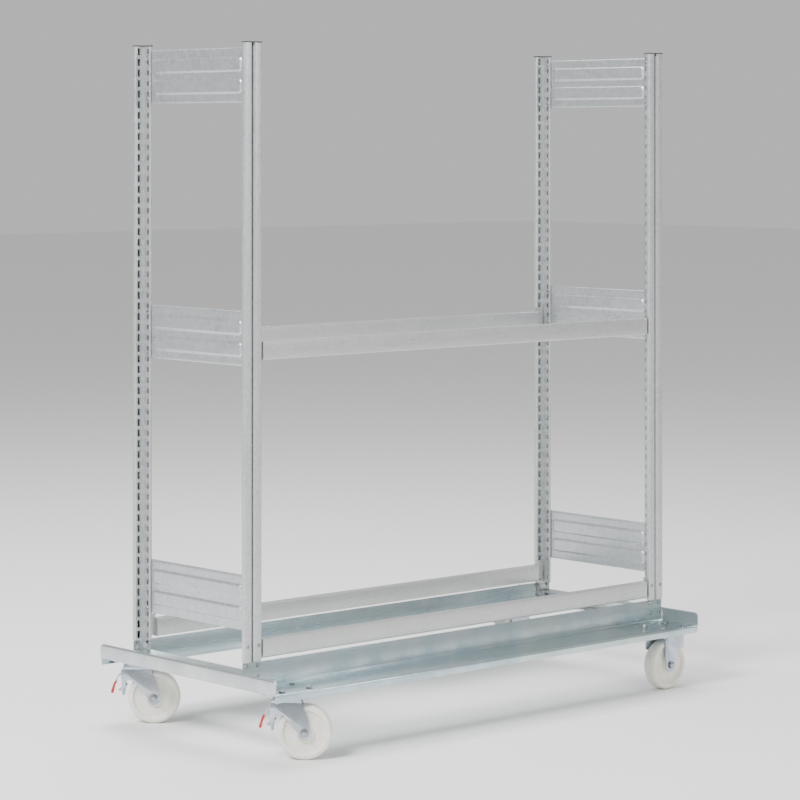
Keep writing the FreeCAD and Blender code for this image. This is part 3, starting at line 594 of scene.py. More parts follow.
def arc(
    across: float, up: float, radius: float, start: float, stop: float, steps: int
) -> Outline:
    """Points along an arc.

    Args:
        across: centre.
        up: centre.
        radius: radius of the arc.
        start: first angle in degrees.
        stop: last angle in degrees.
        steps: number of facets.

    Returns:
        The arc's points in order.
    """
    points = []
    for step in range(steps + 1):
        angle = math.radians(start + (stop - start) * step / steps)
        points.append(
            (across + radius * math.cos(angle), up + radius * math.sin(angle))
        )
    return points


def rounded_outline(corners: Sequence[Corner], steps: int = 5) -> Outline:
    """Closed outline with rounded corners as plain points."""
    samples = follow_corners(corners, closed=True, steps=steps)
    return [(sample.point.x, sample.point.y) for sample in samples]


def as_drawn(a: float, b: float, s: float) -> tuple[float, float, float]:
    """Keep a shape in its own frame, with its axis along +Z."""
    return (a, b, s)


@dataclass
class Shape:
    """A mesh under construction, filled with simple closed shells."""

    mesh: bmesh.types.BMesh = field(default_factory=bmesh.new)

    def point(self, place: Place, a: float, b: float, s: float) -> bmesh.types.BMVert:
        """Add one vertex; sizes are in millimetres."""
        return self.mesh.verts.new(Vector(place(a, b, s)) * MM)

    def face(self, verts: Sequence[bmesh.types.BMVert]) -> None:
        """Add one face, leaving out vertices that repeat."""
        kept = list(dict.fromkeys(verts))
        if len(kept) > 2:
            self.mesh.faces.new(kept)

    def sheet(
        self,
        corners: Sequence[Corner],
        thick: float,
        stations: Sequence[float],
        place: Place,
        closed: bool = False,
        steps: int = 4,
        relief: Callable[[float, float, float], float] | None = None,
    ) -> None:
        """Run a folded sheet along its length.

        Args:
            corners: corners of the sheet's middle line.
            thick: thickness of the sheet.
            stations: positions along the length.
            place: maps across, up and station to the rack's frame.
            closed: True for a tube.
            steps: facets of each fold.
            relief: push along the normal for each across, up and station.
        """
        samples = follow_corners(corners, closed, steps)
        layers = []
        for side in (0.5, -0.5):
            layer = []
            for s in stations:
                row = []
                for sample in samples:
                    spot = sample.point + sample.normal * thick * side
                    if relief is not None:
                        push = relief(sample.point.x, sample.point.y, s)
                        spot = spot + sample.normal * push
                    row.append(self.point(place, spot.x, spot.y, s))
                layer.append(row)
            layers.append(layer)
        outer, inner = layers
        spans = len(samples) if closed else len(samples) - 1
        width = len(samples)
        for j in range(len(stations) - 1):
            for i in range(spans):
                k = (i + 1) % width
                self.face([outer[j][i], outer[j][k], outer[j + 1][k], outer[j + 1][i]])
                self.face([inner[j][k], inner[j][i], inner[j + 1][i], inner[j + 1][k]])
            if not closed:
                for i in (0, width - 1):
                    self.face(
                        [outer[j][i], outer[j + 1][i], inner[j + 1][i], inner[j][i]]
                    )
        for j in (0, len(stations) - 1):
            for i in range(spans):
                k = (i + 1) % width
                self.face([outer[j][i], outer[j][k], inner[j][k], inner[j][i]])

    def prism(self, outline: Outline, low: float, high: float, place: Place) -> None:
        """Add a solid with the same outline all along.

        Args:
            outline: corners of the outline in order.
            low: first station.
            high: last station.
            place: maps across, up and station to the rack's frame.
        """
        rings = []
        for s in (low, high):
            rings.append([self.point(place, a, b, s) for a, b in outline])
        self.face(list(reversed(rings[0])))
        self.face(rings[1])
        count = len(outline)
        for i in range(count):
            k = (i + 1) % count
            self.face([rings[0][i], rings[0][k], rings[1][k], rings[1][i]])

    def lathe(self, profile: Outline, segments: int, place: Place) -> None:
        """Turn a closed profile of radius and height about an axis.

        Args:
            profile: radius and height of each point, in order.
            segments: facets of a full turn.
            place: maps two radial directions and the height to the frame.
        """
        rings = []
        for step in range(segments):
            angle = math.tau * step / segments
            ring = []
            for radius, height in profile:
                ring.append(
                    self.point(
                        place,
                        radius * math.cos(angle),
                        radius * math.sin(angle),
                        height,
                    )
                )
            rings.append(ring)
        count = len(profile)
        for j in range(segments):
            after = rings[(j + 1) % segments]
            for i in range(count):
                k = (i + 1) % count
                self.face([rings[j][i], rings[j][k], after[k], after[i]])

    def tidy(self, outwards: bool = True) -> None:
        """Merge doubles, drop flat faces and turn faces outwards."""
        bmesh.ops.remove_doubles(self.mesh, verts=self.mesh.verts, dist=1e-6)
        bmesh.ops.dissolve_degenerate(
            self.mesh, edges=self.mesh.edges, dist=1e-6
        )
        if outwards:
            bmesh.ops.recalc_face_normals(self.mesh, faces=self.mesh.faces)

    def soften(self, width: float, segments: int = 2, angle: float = 35.0) -> None:
        """Round the sharp edges.

        Args:
            width: width of the rounding in millimetres.
            segments: facets of the rounding.
            angle: smallest angle between faces that counts as sharp.
        """
        self.tidy()
        limit = math.radians(angle)
        sharp = []
        for edge in self.mesh.edges:
            if len(edge.link_faces) == 2 and edge.calc_face_angle(0.0) > limit:
                sharp.append(edge)
        bmesh.ops.bevel(
            self.mesh,
            geom=sharp,
            offset=width * MM,
            segments=segments,
            profile=0.5,
            affect="EDGES",
            clamp_overlap=True,
        )

    def add(self, other: "Shape") -> None:
        """Take in another shape's faces."""
        held = bpy.data.meshes.new("held")
        other.mesh.to_mesh(held)
        self.mesh.from_mesh(held)
        bpy.data.meshes.remove(held)
        other.mesh.free()

    def to_mesh(self, name: str, finish: Finishes | None = None) -> bpy.types.Mesh:
        """Turn the shape into a mesh with smooth faces and crisp folds."""
        mesh = bpy.data.meshes.new(name)
        self.mesh.to_mesh(mesh)
        self.mesh.free()
        if finish is not None:
            mesh.materials.append(finish.value.material())
        smooth(mesh)
        return mesh


def smooth(mesh: bpy.types.Mesh, angle: float = 40.0) -> None:
    """Shade a mesh smooth but keep edges sharper than an angle."""
    mesh.polygons.foreach_set("use_smooth", [True] * len(mesh.polygons))
    mesh.set_sharp_from_angle(angle=math.radians(angle))
    mesh.update()


def show(mesh: bpy.types.Mesh, name: str) -> bpy.types.Object:
    """Put a mesh in the scene as an object at the origin."""
    item = bpy.data.objects.new(name, mesh)
    bpy.context.scene.collection.objects.link(item)
    return item


def settle(
    item: bpy.types.Object, body: str, replaced: Sequence[str] = ()
) -> None:
    """Hand a finished piece to its body and report it.

    Args:
        item: the piece.
        body: CAD body that it rides on.
        replaced: CAD nodes that it stands for.
    """
    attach(item, body)
    if replaced:
        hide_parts(*replaced)
    LOG.info("%s rides on %s, %d faces", item.name, body, len(item.data.polygons))


def keep_node(name: str, finish: Finishes, rounding: float) -> None:
    """Dress a CAD node in its finish and break its sharp edges.

    Args:
        name: the CAD node.
        finish: its finish.
        rounding: width of the broken edges in millimetres.
    """
    node = frame["nodes"][name]
    if not node.data.materials:
        node.data.materials.append(None)
    for i in range(len(node.material_slots)):
        node.material_slots[i].material = finish.value.material()
    if rounding > 0:
        node.modifiers.new("join", "WELD").merge_threshold = 1e-5
        edges = node.modifiers.new("edges", "BEVEL")
        edges.width = rounding * MM
        edges.segments = 2
        edges.limit_method = "ANGLE"
        edges.angle_limit = math.radians(35)
        edges.harden_normals = True
    LOG.info("%s keeps its CAD shape", name)


@cache
def node_box(name: str) -> tuple[Vector, Vector]:
    """Lowest and highest corner of a CAD node's box, in millimetres."""
    low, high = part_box(name)
    return (low / MM, high / MM)


def middle(name: str) -> Vector:
    """Middle of a CAD node's box, in millimetres."""
    low, high = node_box(name)
    return (low + high) / 2


def low_corner(name: str) -> Vector:
    """Lowest corner of a CAD node's box, in millimetres."""
    return node_box(name)[0]


def high_corner(name: str) -> Vector:
    """Highest corner of a CAD node's box, in millimetres."""
    return node_box(name)[1]


# -------------------------------------------------------- geometry nodes
class Tool:
    """A geometry node tree that is built once and run on many meshes."""

    def __init__(self, name: str) -> None:
        """Make the tree with its geometry sockets and call wire."""
        self.tree = bpy.data.node_groups.new(name, "GeometryNodeTree")
        self.socket("Geometry", "NodeSocketGeometry")
        self.tree.interface.new_socket(
            "Geometry", in_out="OUTPUT", socket_type="NodeSocketGeometry"
        )
        self.wire()

    def socket(self, label: str, kind: str) -> None:
        """Add one named input."""
        self.tree.interface.new_socket(label, in_out="INPUT", socket_type=kind)

    def wire(self) -> None:
        """Build the tree's nodes."""
        raise NotImplementedError

    def close(self, entry: bpy.types.Node, geometry: bpy.types.NodeSocket) -> None:
        """End the tree in real geometry with the chosen material."""
        real = add_node(self.tree, "GeometryNodeRealizeInstances", {0: geometry})
        painted = add_node(
            self.tree,
            "GeometryNodeSetMaterial",
            {"Geometry": real.outputs[0], "Material": entry.outputs["Material"]},
        )
        add_node(self.tree, "NodeGroupOutput", {0: painted.outputs[0]})

    def run(
        self, name: str, source: bpy.types.Mesh, **inputs: object
    ) -> bpy.types.Mesh:
        """Run the tree on a mesh and return plain geometry.

        Args:
            name: name of the result.
            source: mesh that goes in.
            **inputs: values for the named inputs, with _ for a space.

        Returns:
            The evaluated mesh.
        """
        carrier = show(source, name + "_source")
        modifier = carrier.modifiers.new("tool", "NODES")
        modifier.node_group = self.tree
        for item in self.tree.interface.items_tree:
            key = item.name.replace(" ", "_")
            if item.in_out == "INPUT" and key in inputs:
                modifier[item.identifier] = inputs[key]
        graph = bpy.context.evaluated_depsgraph_get()
        result = bpy.data.meshes.new_from_object(
            carrier.evaluated_get(graph), depsgraph=graph
        )
        carrier.modifiers.remove(modifier)
        bpy.data.objects.remove(carrier)
        bpy.data.meshes.remove(source)
        result.name = name
        return result


class RowTool(Tool):
    """Repeats a mesh along a straight line and joins the copies."""

    def wire(self) -> None:
        """Line of points, one copy on each, joined where they meet."""
        self.socket("Count", "NodeSocketInt")
        self.socket("Step", "NodeSocketVector")
        self.socket("Join Distance", "NodeSocketFloat")
        self.socket("Material", "NodeSocketMaterial")
        entry = add_node(self.tree, "NodeGroupInput")
        line = add_node(
            self.tree,
            "GeometryNodeMeshLine",
            {"Count": entry.outputs["Count"], "Offset": entry.outputs["Step"]},
            mode="OFFSET",
        )
        copies = add_node(
            self.tree,
            "GeometryNodeInstanceOnPoints",
            {"Points": line.outputs[0], "Instance": entry.outputs["Geometry"]},
        )
        real = add_node(
            self.tree, "GeometryNodeRealizeInstances", {0: copies.outputs[0]}
        )
        joined = add_node(
            self.tree,
            "GeometryNodeMergeByDistance",
            {"Geometry": real.outputs[0], "Distance": entry.outputs["Join Distance"]},
        )
        self.close(entry, joined.outputs[0])


class ScatterTool(Tool):
    """Puts a fastener on each point, turned at random about its own axis."""

    def wire(self) -> None:
        """Face each copy the way its point says, then twist it."""
        self.socket("Part", "NodeSocketObject")
        self.socket("Twist", "NodeSocketFloat")
        self.socket("Seed", "NodeSocketInt")
        self.socket("Material", "NodeSocketMaterial")
        entry = add_node(self.tree, "NodeGroupInput")
        part = add_node(
            self.tree, "GeometryNodeObjectInfo", {"Object": entry.outputs["Part"]}
        )
        facing = add_node(
            self.tree,
            "GeometryNodeInputNamedAttribute",
            {"Name": "facing"},
            data_type="FLOAT_VECTOR",
        )
        aimed = add_node(
            self.tree,
            "FunctionNodeAlignRotationToVector",
            {"Vector": facing.outputs[0]},
            axis="Z",
        )
        chance = add_node(self.tree, "FunctionNodeRandomValue", data_type="FLOAT")
        self.tree.links.new(entry.outputs["Seed"], chance.inputs["Seed"])
        angle = add_node(
            self.tree,
            "ShaderNodeMath",
            {0: chance.outputs[1], 1: entry.outputs["Twist"]},
            operation="MULTIPLY",
        )
        spin = add_node(
            self.tree,
            "FunctionNodeAxisAngleToRotation",
            {"Axis": (0.0, 0.0, 1.0), "Angle": angle.outputs[0]},
        )
        turned = add_node(
            self.tree,
            "FunctionNodeRotateRotation",
            {0: aimed.outputs[0], 1: spin.outputs[0]},
            rotation_space="LOCAL",
        )
        copies = add_node(
            self.tree,
            "GeometryNodeInstanceOnPoints",
            {
                "Points": entry.outputs["Geometry"],
                "Instance": part.outputs["Geometry"],
                "Rotation": turned.outputs[0],
            },
        )
        self.close(entry, copies.outputs[0])

    def place(
        self,
        name: str,
        part: bpy.types.Mesh,
        spots: Sequence[tuple[Vector, Vector]],
        finish: Finishes,
        seed: int,
        twist: float = math.tau,
    ) -> bpy.types.Object:
        """Put one fastener on every spot.

        Args:
            name: name of the finished piece.
            part: the fastener, its axis along +Z from the origin.
            spots: position in millimetres and direction of each copy.
            finish: finish of the copies.
            seed: seed of the random twist.
            twist: largest twist in radians.

        Returns:
            The finished piece.
        """
        points = bpy.data.meshes.new(name + "_points")
        points.from_pydata([spot * MM for spot, _ in spots], [], [])
        facing = points.attributes.new("facing", "FLOAT_VECTOR", "POINT")
        for i, (_, direction) in enumerate(spots):
            facing.data[i].vector = direction
        holder = show(part, name + "_part")
        mesh = self.run(
            name,
            points,
            Part=holder,
            Twist=twist,
            Seed=seed,
            Material=finish.value.material(),
        )
        bpy.data.objects.remove(holder)
        smooth(mesh)
        return show(mesh, name)


class CoilTool(Tool):
    """Winds a round wire into a spring about +Z."""

    def wire(self) -> None:
        """Spiral line given a round section."""
        self.socket("Turns", "NodeSocketFloat")
        self.socket("Radius", "NodeSocketFloat")
        self.socket("Height", "NodeSocketFloat")
        self.socket("Wire Radius", "NodeSocketFloat")
        self.socket("Material", "NodeSocketMaterial")
        entry = add_node(self.tree, "NodeGroupInput")
        line = add_node(
            self.tree,
            "GeometryNodeCurveSpiral",
            {
                "Resolution": 20,
                "Rotations": entry.outputs["Turns"],
                "Start Radius": entry.outputs["Radius"],
                "End Radius": entry.outputs["Radius"],
                "Height": entry.outputs["Height"],
            },
        )
        section = add_node(
            self.tree,
            "GeometryNodeCurvePrimitiveCircle",
            {"Resolution": 10, "Radius": entry.outputs["Wire Radius"]},
        )
        wire = add_node(
            self.tree,
            "GeometryNodeCurveToMesh",
            {
                "Curve": line.outputs[0],
                "Profile Curve": section.outputs[0],
                "Fill Caps": True,
            },
        )
        self.close(entry, wire.outputs[0])


# --------------------------------------------------------------- uprights
@dataclass
class Upright:
    """A slotted upright: one strip folded into two boxes and a stem."""

    corner: str
    half: float = 25.0
    depth: float = 12.0
    stem_half: float = 3.0
    stem_depth: float = 38.0
    wall: float = 1.5
    lip_across: float = 5.8
    groove_deep: float = 4.3
    fold: float = 1.9
    pitch: float = 25.0
    slot: tuple[float, float, float] = (15.0, 4.0, 8.5)
    stem_slot: tuple[float, float, float] = (31.0, 3.0, 6.0)
    slot_corner: float = 1.6
    slot_margin: float = 2.0

    @property
    def node(self) -> str:
        """Name of the CAD node."""
        return "upright_" + self.corner

    def side(self) -> float:
        """Return 1 if the face points to the front and -1 at the rear."""
        return 1.0 if self.corner.startswith("front") else -1.0

    def origin(self) -> Vector:
        """Middle of the face at the foot."""
        low, high = low_corner(self.node), high_corner(self.node)
        face = low.y if self.side() > 0 else high.y
        return Vector(((low.x + high.x) / 2, face, low.z))

    def place(self, u: float, v: float, z: float) -> tuple[float, float, float]:
        """Map across, inwards and up to the rack's frame."""
        at, side = self.origin(), self.side()
        return (at.x + side * u, at.y + side * v, at.z + z)

    def line(self) -> list[Corner]:
        """Middle line of the strip, from one free end to the other."""
        mid = self.wall / 2
        back = self.depth - mid
        edge = self.half - mid
        stem = self.stem_half - mid
        tail = self.stem_depth - mid
        slot_low = self.slot[0] - self.slot[1] - self.slot_margin
        slot_high = self.slot[0] + self.slot[1] + self.slot_margin
        hole_low = self.stem_slot[0] - self.stem_slot[1] - self.slot_margin
        hole_high = self.stem_slot[0] + self.stem_slot[1] + self.slot_margin
        half = [
            Corner(self.stem_half, back),
            Corner(slot_low, back, slotted=True),
            Corner(slot_high, back),
            Corner(edge, back, self.fold),
            Corner(edge, mid, self.fold),
            Corner(self.lip_across, mid, self.fold),
            Corner(stem, self.groove_deep, self.fold),
            Corner(stem, hole_low, slotted=True),
            Corner(stem, hole_high),
            Corner(stem, tail, self.fold),
        ]
        mirrored = [
            Corner(-stem, tail, self.fold),
            Corner(-stem, hole_high, slotted=True),
            Corner(-stem, hole_low),
            Corner(-stem, self.groove_deep, self.fold),
            Corner(-self.lip_across, mid, self.fold),
            Corner(-edge, mid, self.fold),
            Corner(-edge, back, self.fold),
            Corner(-slot_high, back, slotted=True),
            Corner(-slot_low, back),
            Corner(-self.stem_half, back),
        ]
        return half + mirrored

    def slot_ring(self, low: float, high: float, half: float) -> Outline:
        """Rounded slot between two borders, centred in one pitch."""
        centre = (low + high) / 2
        wide = (high - low) / 2 - self.slot_margin
        corners = [
            Corner(centre - wide, self.pitch / 2 - half, self.slot_corner),
            Corner(centre + wide, self.pitch / 2 - half, self.slot_corner),
            Corner(centre + wide, self.pitch / 2 + half, self.slot_corner),
            Corner(centre - wide, self.pitch / 2 + half, self.slot_corner),
        ]
        return rounded_outline(corners, steps=3)

    def plate(self, shape: Shape, first: Sample, last: Sample, half: float) -> None:
        """Add one pitch of slotted wall between two samples.

        Args:
            shape: shape that gets the faces.
            first: sample before the slot.
            last: sample after the slot.
            half: half height of the slot.
        """
        length = (last.point - first.point).length
        along = (last.point - first.point).normalized()
        ring = self.slot_ring(0.0, length, half)
        per_corner = len(ring) // 4
        rings = []
        for side in (0.5, -0.5):
            shift = first.normal * self.wall * side

            def spot(t: float, z: float, shift: Vector = shift) -> tuple:
                """Point of this layer at a distance along the wall."""
                flat = first.point + along * t + shift
                return (flat.x, flat.y, z)

            frame_verts = []
            for t, z in ((0, 0), (length, 0), (length, self.pitch), (0, self.pitch)):
                frame_verts.append(shape.point(as_drawn, *spot(t, z)))
            hole = [shape.point(as_drawn, *spot(t, z)) for t, z in ring]
            for k in range(4):
                start = k * per_corner
                for i in range(start, start + per_corner - 1):
                    shape.face([frame_verts[k], hole[i], hole[i + 1]])
                end = (start + per_corner) % len(hole)
                shape.face(
                    [
                        frame_verts[k],
                        hole[start + per_corner - 1],
                        hole[end],
                        frame_verts[(k + 1) % 4],
                    ]
                )
            rings.append(hole)
        count = len(ring)
        for i in range(count):
            k = (i + 1) % count
            shape.face([rings[0][i], rings[0][k], rings[1][k], rings[1][i]])

    def cell(self) -> bpy.types.Mesh:
        """One pitch of the upright with its slots."""
        shape = Shape()
        samples = follow_corners(self.line(), steps=4)
        for first, last in zip(samples, samples[1:]):
            if first.slotted:
                on_stem = abs(first.point.x) < self.stem_half
                half = self.stem_slot[2] if on_stem else self.slot[2]
                self.plate(shape, first, last, half)
                continue
            for side in (0.5, -0.5):
                a = first.point + first.normal * self.wall * side
                b = last.point + last.normal * self.wall * side
                corners = ((a, 0.0), (b, 0.0), (b, self.pitch), (a, self.pitch))
                shape.face(
                    [shape.point(as_drawn, q.x, q.y, z) for q, z in corners]
                )
        for sample in (samples[0], samples[-1]):
            a = sample.point + sample.normal * self.wall / 2
            b = sample.point - sample.normal * self.wall / 2
            corners = ((a, 0.0), (b, 0.0), (b, self.pitch), (a, self.pitch))
            shape.face([shape.point(as_drawn, q.x, q.y, z) for q, z in corners])
        shape.tidy(outwards=False)
        return shape.to_mesh("upright_cell")

    def close_ends(self, shape: Shape, height: float) -> None:
        """Add the cut edges of the strip at the foot and at the top."""
        samples = follow_corners(self.line(), steps=4)
        for z in (0.0, height):
            for first, last in zip(samples, samples[1:]):
                a = first.normal * self.wall / 2
                b = last.normal * self.wall / 2
                spots = (
                    first.point + a, last.point + b, last.point - b, first.point - a
                )
                shape.face([shape.point(as_drawn, q.x, q.y, z) for q in spots])

    def build(self, row: RowTool) -> None:
        """Repeat the cell up the post, close its ends and set it in place."""
        height = high_corner(self.node).z - low_corner(self.node).z
        mesh = row.run(
            self.node + "_post",
            self.cell(),
            Count=round(height / self.pitch),
            Step=(0.0, 0.0, self.pitch * MM),
            Join_Distance=0.02 * MM,
            Material=Finishes.UPRIGHT.value.material(),
        )
        shape = Shape()
        shape.mesh.from_mesh(mesh)
        bpy.data.meshes.remove(mesh)
        self.close_ends(shape, height)
        shape.tidy()
        for vert in shape.mesh.verts:
            u, v, z = vert.co / MM
            vert.co = Vector(self.place(u, v, z)) * MM
        item = show(
            shape.to_mesh(self.node + "_post", Finishes.UPRIGHT), self.node + "_post"
        )
        settle(item, FRAME_BODY, [self.node])


@dataclass
class Cap:
    """Thin moulded cap with a rounded rim and a peg in the groove."""

    upright: Upright
    over: float = 1.0
    thick: float = 3.0
    peg: tuple[float, float, float] = (1.3, 3.6, 6.0)

    def build(self) -> None:
        """Mould the cap on top of its upright."""
        post = self.upright
        name = "cap_" + post.corner
        top = low_corner(name).z + self.peg[2] - post.origin().z
        half = post.half + self.over
        back = post.depth + self.over
        stem = post.stem_half + 1.5 * self.over
        tail = post.stem_depth + 1.5 * self.over
        outline = rounded_outline(
            [
                Corner(-half, -self.over, 2.0),
                Corner(half, -self.over, 2.0),
                Corner(half, back, 2.0),
                Corner(stem, back, 1.0),
                Corner(stem, tail, 1.5),
                Corner(-stem, tail, 1.5),
                Corner(-stem, back, 1.0),
                Corner(-half, back, 2.0),
            ]
        )
        shape = Shape()
        shape.prism(outline, top, top + self.thick, post.place)
        shape.soften(0.7, segments=3)
        peg = Shape()
        wide, deep, drop = self.peg
        peg.prism(
            [(-wide, 0.4), (wide, 0.4), (wide, deep), (-wide, deep)],
            top - drop,
            top + 0.2,
            post.place,
        )
        peg.soften(0.3)
        shape.add(peg)
        item = show(shape.to_mesh(name + "_moulding", Finishes.CAP), name + "_moulding")
        settle(item, FRAME_BODY, [name])


# ------------------------------------------------------------ side panels
@dataclass
class SidePanel:
    """Pressed sheet with two raised pads and folded edges."""

    node: str
    wall: float = 1.5
    rise: float = 3.0
    flange: float = 10.0
    fold: float = 2.2
    pads: tuple[tuple[float, float], ...] = ((20.0, 55.0), (70.0, 105.0))
    end_gap: float = 31.0
    pad_corner: float = 9.0
    slope: float = 4.5
    fine: float = 1.5

    def height_at(self, y: float, z: float, half: float) -> float:
        """Rise of the pressed pads at a point.

        Args:
            y: distance from the panel's middle.
            z: height above the panel's lower edge.
            half: half length of the pads.

        Returns:
            The rise in millimetres.
        """
        best = 0.0
        for low, high in self.pads:
            out_y = abs(y) - (half - self.pad_corner)
            out_z = abs(z - (low + high) / 2) - ((high - low) / 2 - self.pad_corner)
            outside = math.hypot(max(out_y, 0.0), max(out_z, 0.0))
            inside = min(max(out_y, out_z), 0.0)
            depth = self.pad_corner - outside - inside
            share = min(max(depth / self.slope, 0.0), 1.0)
            best = max(best, share * share * (3 - 2 * share))
        return best * self.rise

    def stations(self, length: float, pad_half: float) -> list[float]:
        """Positions along the panel, close together at the pads' ends."""
        spots = {-length / 2, length / 2, 0.0}
        for sign in (-1, 1):
            steps = int((self.pad_corner + self.slope) / self.fine) + 2
            for step in range(steps):
                spots.add(sign * (pad_half + self.fine - step * self.fine))
            for step in range(1, 6):
                spots.add(sign * step * pad_half / 6.5)
        return sorted(spots)

    def levels(self, height: float) -> list[float]:
        """Heights of the flat face, close together on the pads' slopes."""
        spots = {6.0, height - 6.0, height / 2}
        for low, high in self.pads:
            for edge, sign in ((low, 1), (high, -1)):
                for step in range(-1, 8):
                    spots.add(edge + sign * step * self.fine)
            spots.add((low + high) / 2)
        return sorted(spots)

    def build(self) -> None:
        """Press the panel and hang it in the frame."""
        low, high = low_corner(self.node), high_corner(self.node)
        height = high.z - low.z
        length = high.y - low.y
        mid_y = (high.y + low.y) / 2
        face = low.x + self.rise
        mid = self.wall / 2
        pad_half = length / 2 - self.end_gap
        corners = [
            Corner(self.flange, mid),
            Corner(mid, mid, self.fold),
        ]
        corners += [Corner(mid, level) for level in self.levels(height)]
        corners += [
            Corner(mid, height - mid, self.fold),
            Corner(self.flange, height - mid),
        ]

        def place(a: float, b: float, s: float) -> tuple[float, float, float]:
            """Map depth, height and length to the rack's frame."""
            return (face + a, mid_y + s, low.z + b)

        def relief(a: float, b: float, s: float) -> float:
            """Push of the pads towards the outside of the sheet."""
            return self.height_at(s, b, pad_half) if a <= mid + 0.01 else 0.0

        shape = Shape()
        shape.sheet(
            corners,
            self.wall,
            self.stations(length, pad_half),
            place,
            relief=relief,
        )
        shape.tidy()
        name = self.node + "_pressing"
        item = show(shape.to_mesh(name, Finishes.PANEL), name)
        settle(item, FRAME_BODY, [self.node])


# ------------------------------------------------------------------ beams
@dataclass
class Beam:
    """Welded tube with softly rolled edges."""

    node: str
    wall: float = 1.5
    fold: float = 2.6

    def build(self) -> None:
        """Roll the tube and lay it in place."""
        low, high = low_corner(self.node), high_corner(self.node)
        mid = self.wall / 2
        deep = high.y - low.y
        tall = high.z - low.z
        corners = [
            Corner(mid, mid, self.fold),
            Corner(deep - mid, mid, self.fold),
            Corner(deep - mid, tall - mid, self.fold),
            Corner(mid, tall - mid, self.fold),
        ]

        def place(a: float, b: float, s: float) -> tuple[float, float, float]:
            """Map depth, height and length to the rack's frame."""
            return (s, low.y + a, low.z + b)

        shape = Shape()
        shape.sheet(corners, self.wall, [low.x, high.x], place, closed=True, steps=5)
        shape.tidy()
        name = self.node + "_tube"
        item = show(shape.to_mesh(name, Finishes.BEAM), name)
        settle(item, FRAME_BODY, [self.node])


# ---------------------------------------------------------------- chassis
@dataclass
class LongRail:
    """Folded rail: wall below the uprights, shelf outwards, lip down."""

    node: str
    wall: float = 3.0
    fold: float = 3.2
    lip: float = 15.0
    wall_short: float = 4.0
    wall_from: float = 21.0
    wall_step: float = 1.0

    def build(self) -> None:
        """Fold the rail along its length."""
        low, high = low_corner(self.node), high_corner(self.node)
        front = self.node.endswith("front")
        mid = self.wall / 2
        deep = high.y - low.y
        tall = high.z - low.z
        shelf = self.lip + mid
        corners = [
            Corner(mid, 0.0),
            Corner(mid, shelf, self.fold),
            Corner(deep - mid, shelf, self.fold),
            Corner(deep - mid, self.wall_from),
            Corner(deep - mid, self.wall_from + self.wall_step),
            Corner(deep - mid, tall),
        ]

        def place(a: float, b: float, s: float) -> tuple[float, float, float]:
            """Map depth, height and length; the wall stops short of the ends."""
            reach = high.x - (self.wall_short if b > self.wall_from + self.wall_step / 2 else 0.0)
            y = low.y + a if front else high.y - a
            return (min(max(s, -reach), reach), y, low.z + b)

        shape = Shape()
        shape.sheet(corners, self.wall, [low.x, high.x], place, steps=6)
        shape.soften(0.35, segments=2)
        name = self.node + "_folding"
        item = show(shape.to_mesh(name, Finishes.CHASSIS), name)
        settle(item, FRAME_BODY, [self.node])


@dataclass
class EndRail:
    """Channel across one end, its flanges cut back beside the long rails."""

    node: str
    wall: float = 3.0
    fold: float = 3.2
    flange_half: float = 198.0
    corner: float = 7.0
    notch_gap: float = 0.4
    notch_step: float = 0.6

    def build(self) -> None:
        """Fold the channel."""
        low, high = low_corner(self.node), high_corner(self.node)
        left = self.node.endswith("left")
        mid = self.wall / 2
        deep = high.x - low.x
        tall = high.z - low.z
        mid_y = (low.y + high.y) / 2
        half = (high.y - low.y) / 2
        notch = mid + self.fold + self.notch_gap
        corners = [
            Corner(deep, mid),
            Corner(notch + self.notch_step, mid),
            Corner(notch, mid),
            Corner(mid, mid, self.fold),
            Corner(mid, tall - mid, self.fold),
            Corner(notch, tall - mid),
            Corner(notch + self.notch_step, tall - mid),
            Corner(deep, tall - mid),
        ]
        steps = 8
        ends = []
        for step in range(steps + 1):
            ends.append(half - self.corner * (1 - math.cos(math.pi / 2 * step / steps)))
        stations = [-end for end in ends] + [-self.flange_half, self.flange_half]
        stations += [end for end in reversed(ends)]

        def place(a: float, b: float, s: float) -> tuple[float, float, float]:
            """Map depth, height and length with rounded upper corners."""
            if a > notch + self.notch_step / 2:
                s = min(max(s, -self.flange_half), self.flange_half)
            over = max(abs(s) - (half - self.corner), 0.0)
            drop = self.corner - math.sqrt(max(self.corner**2 - over**2, 0.0))
            x = low.x + a if left else high.x - a
            return (x, mid_y + s, low.z + b * (tall - drop) / tall)

        shape = Shape()
        shape.sheet(corners, self.wall, sorted(set(stations)), place, steps=6)
        shape.tidy()
        name = self.node + "_folding"
        item = show(shape.to_mesh(name, Finishes.END_RAIL), name)
        settle(item, FRAME_BODY, [self.node])


# -------------------------------------------------------------- fasteners
def hexagon(across_corners: float) -> Outline:
    """Hexagon of a bolt head or nut."""
    return arc(0, 0, across_corners / 2, 0, 300, 5)


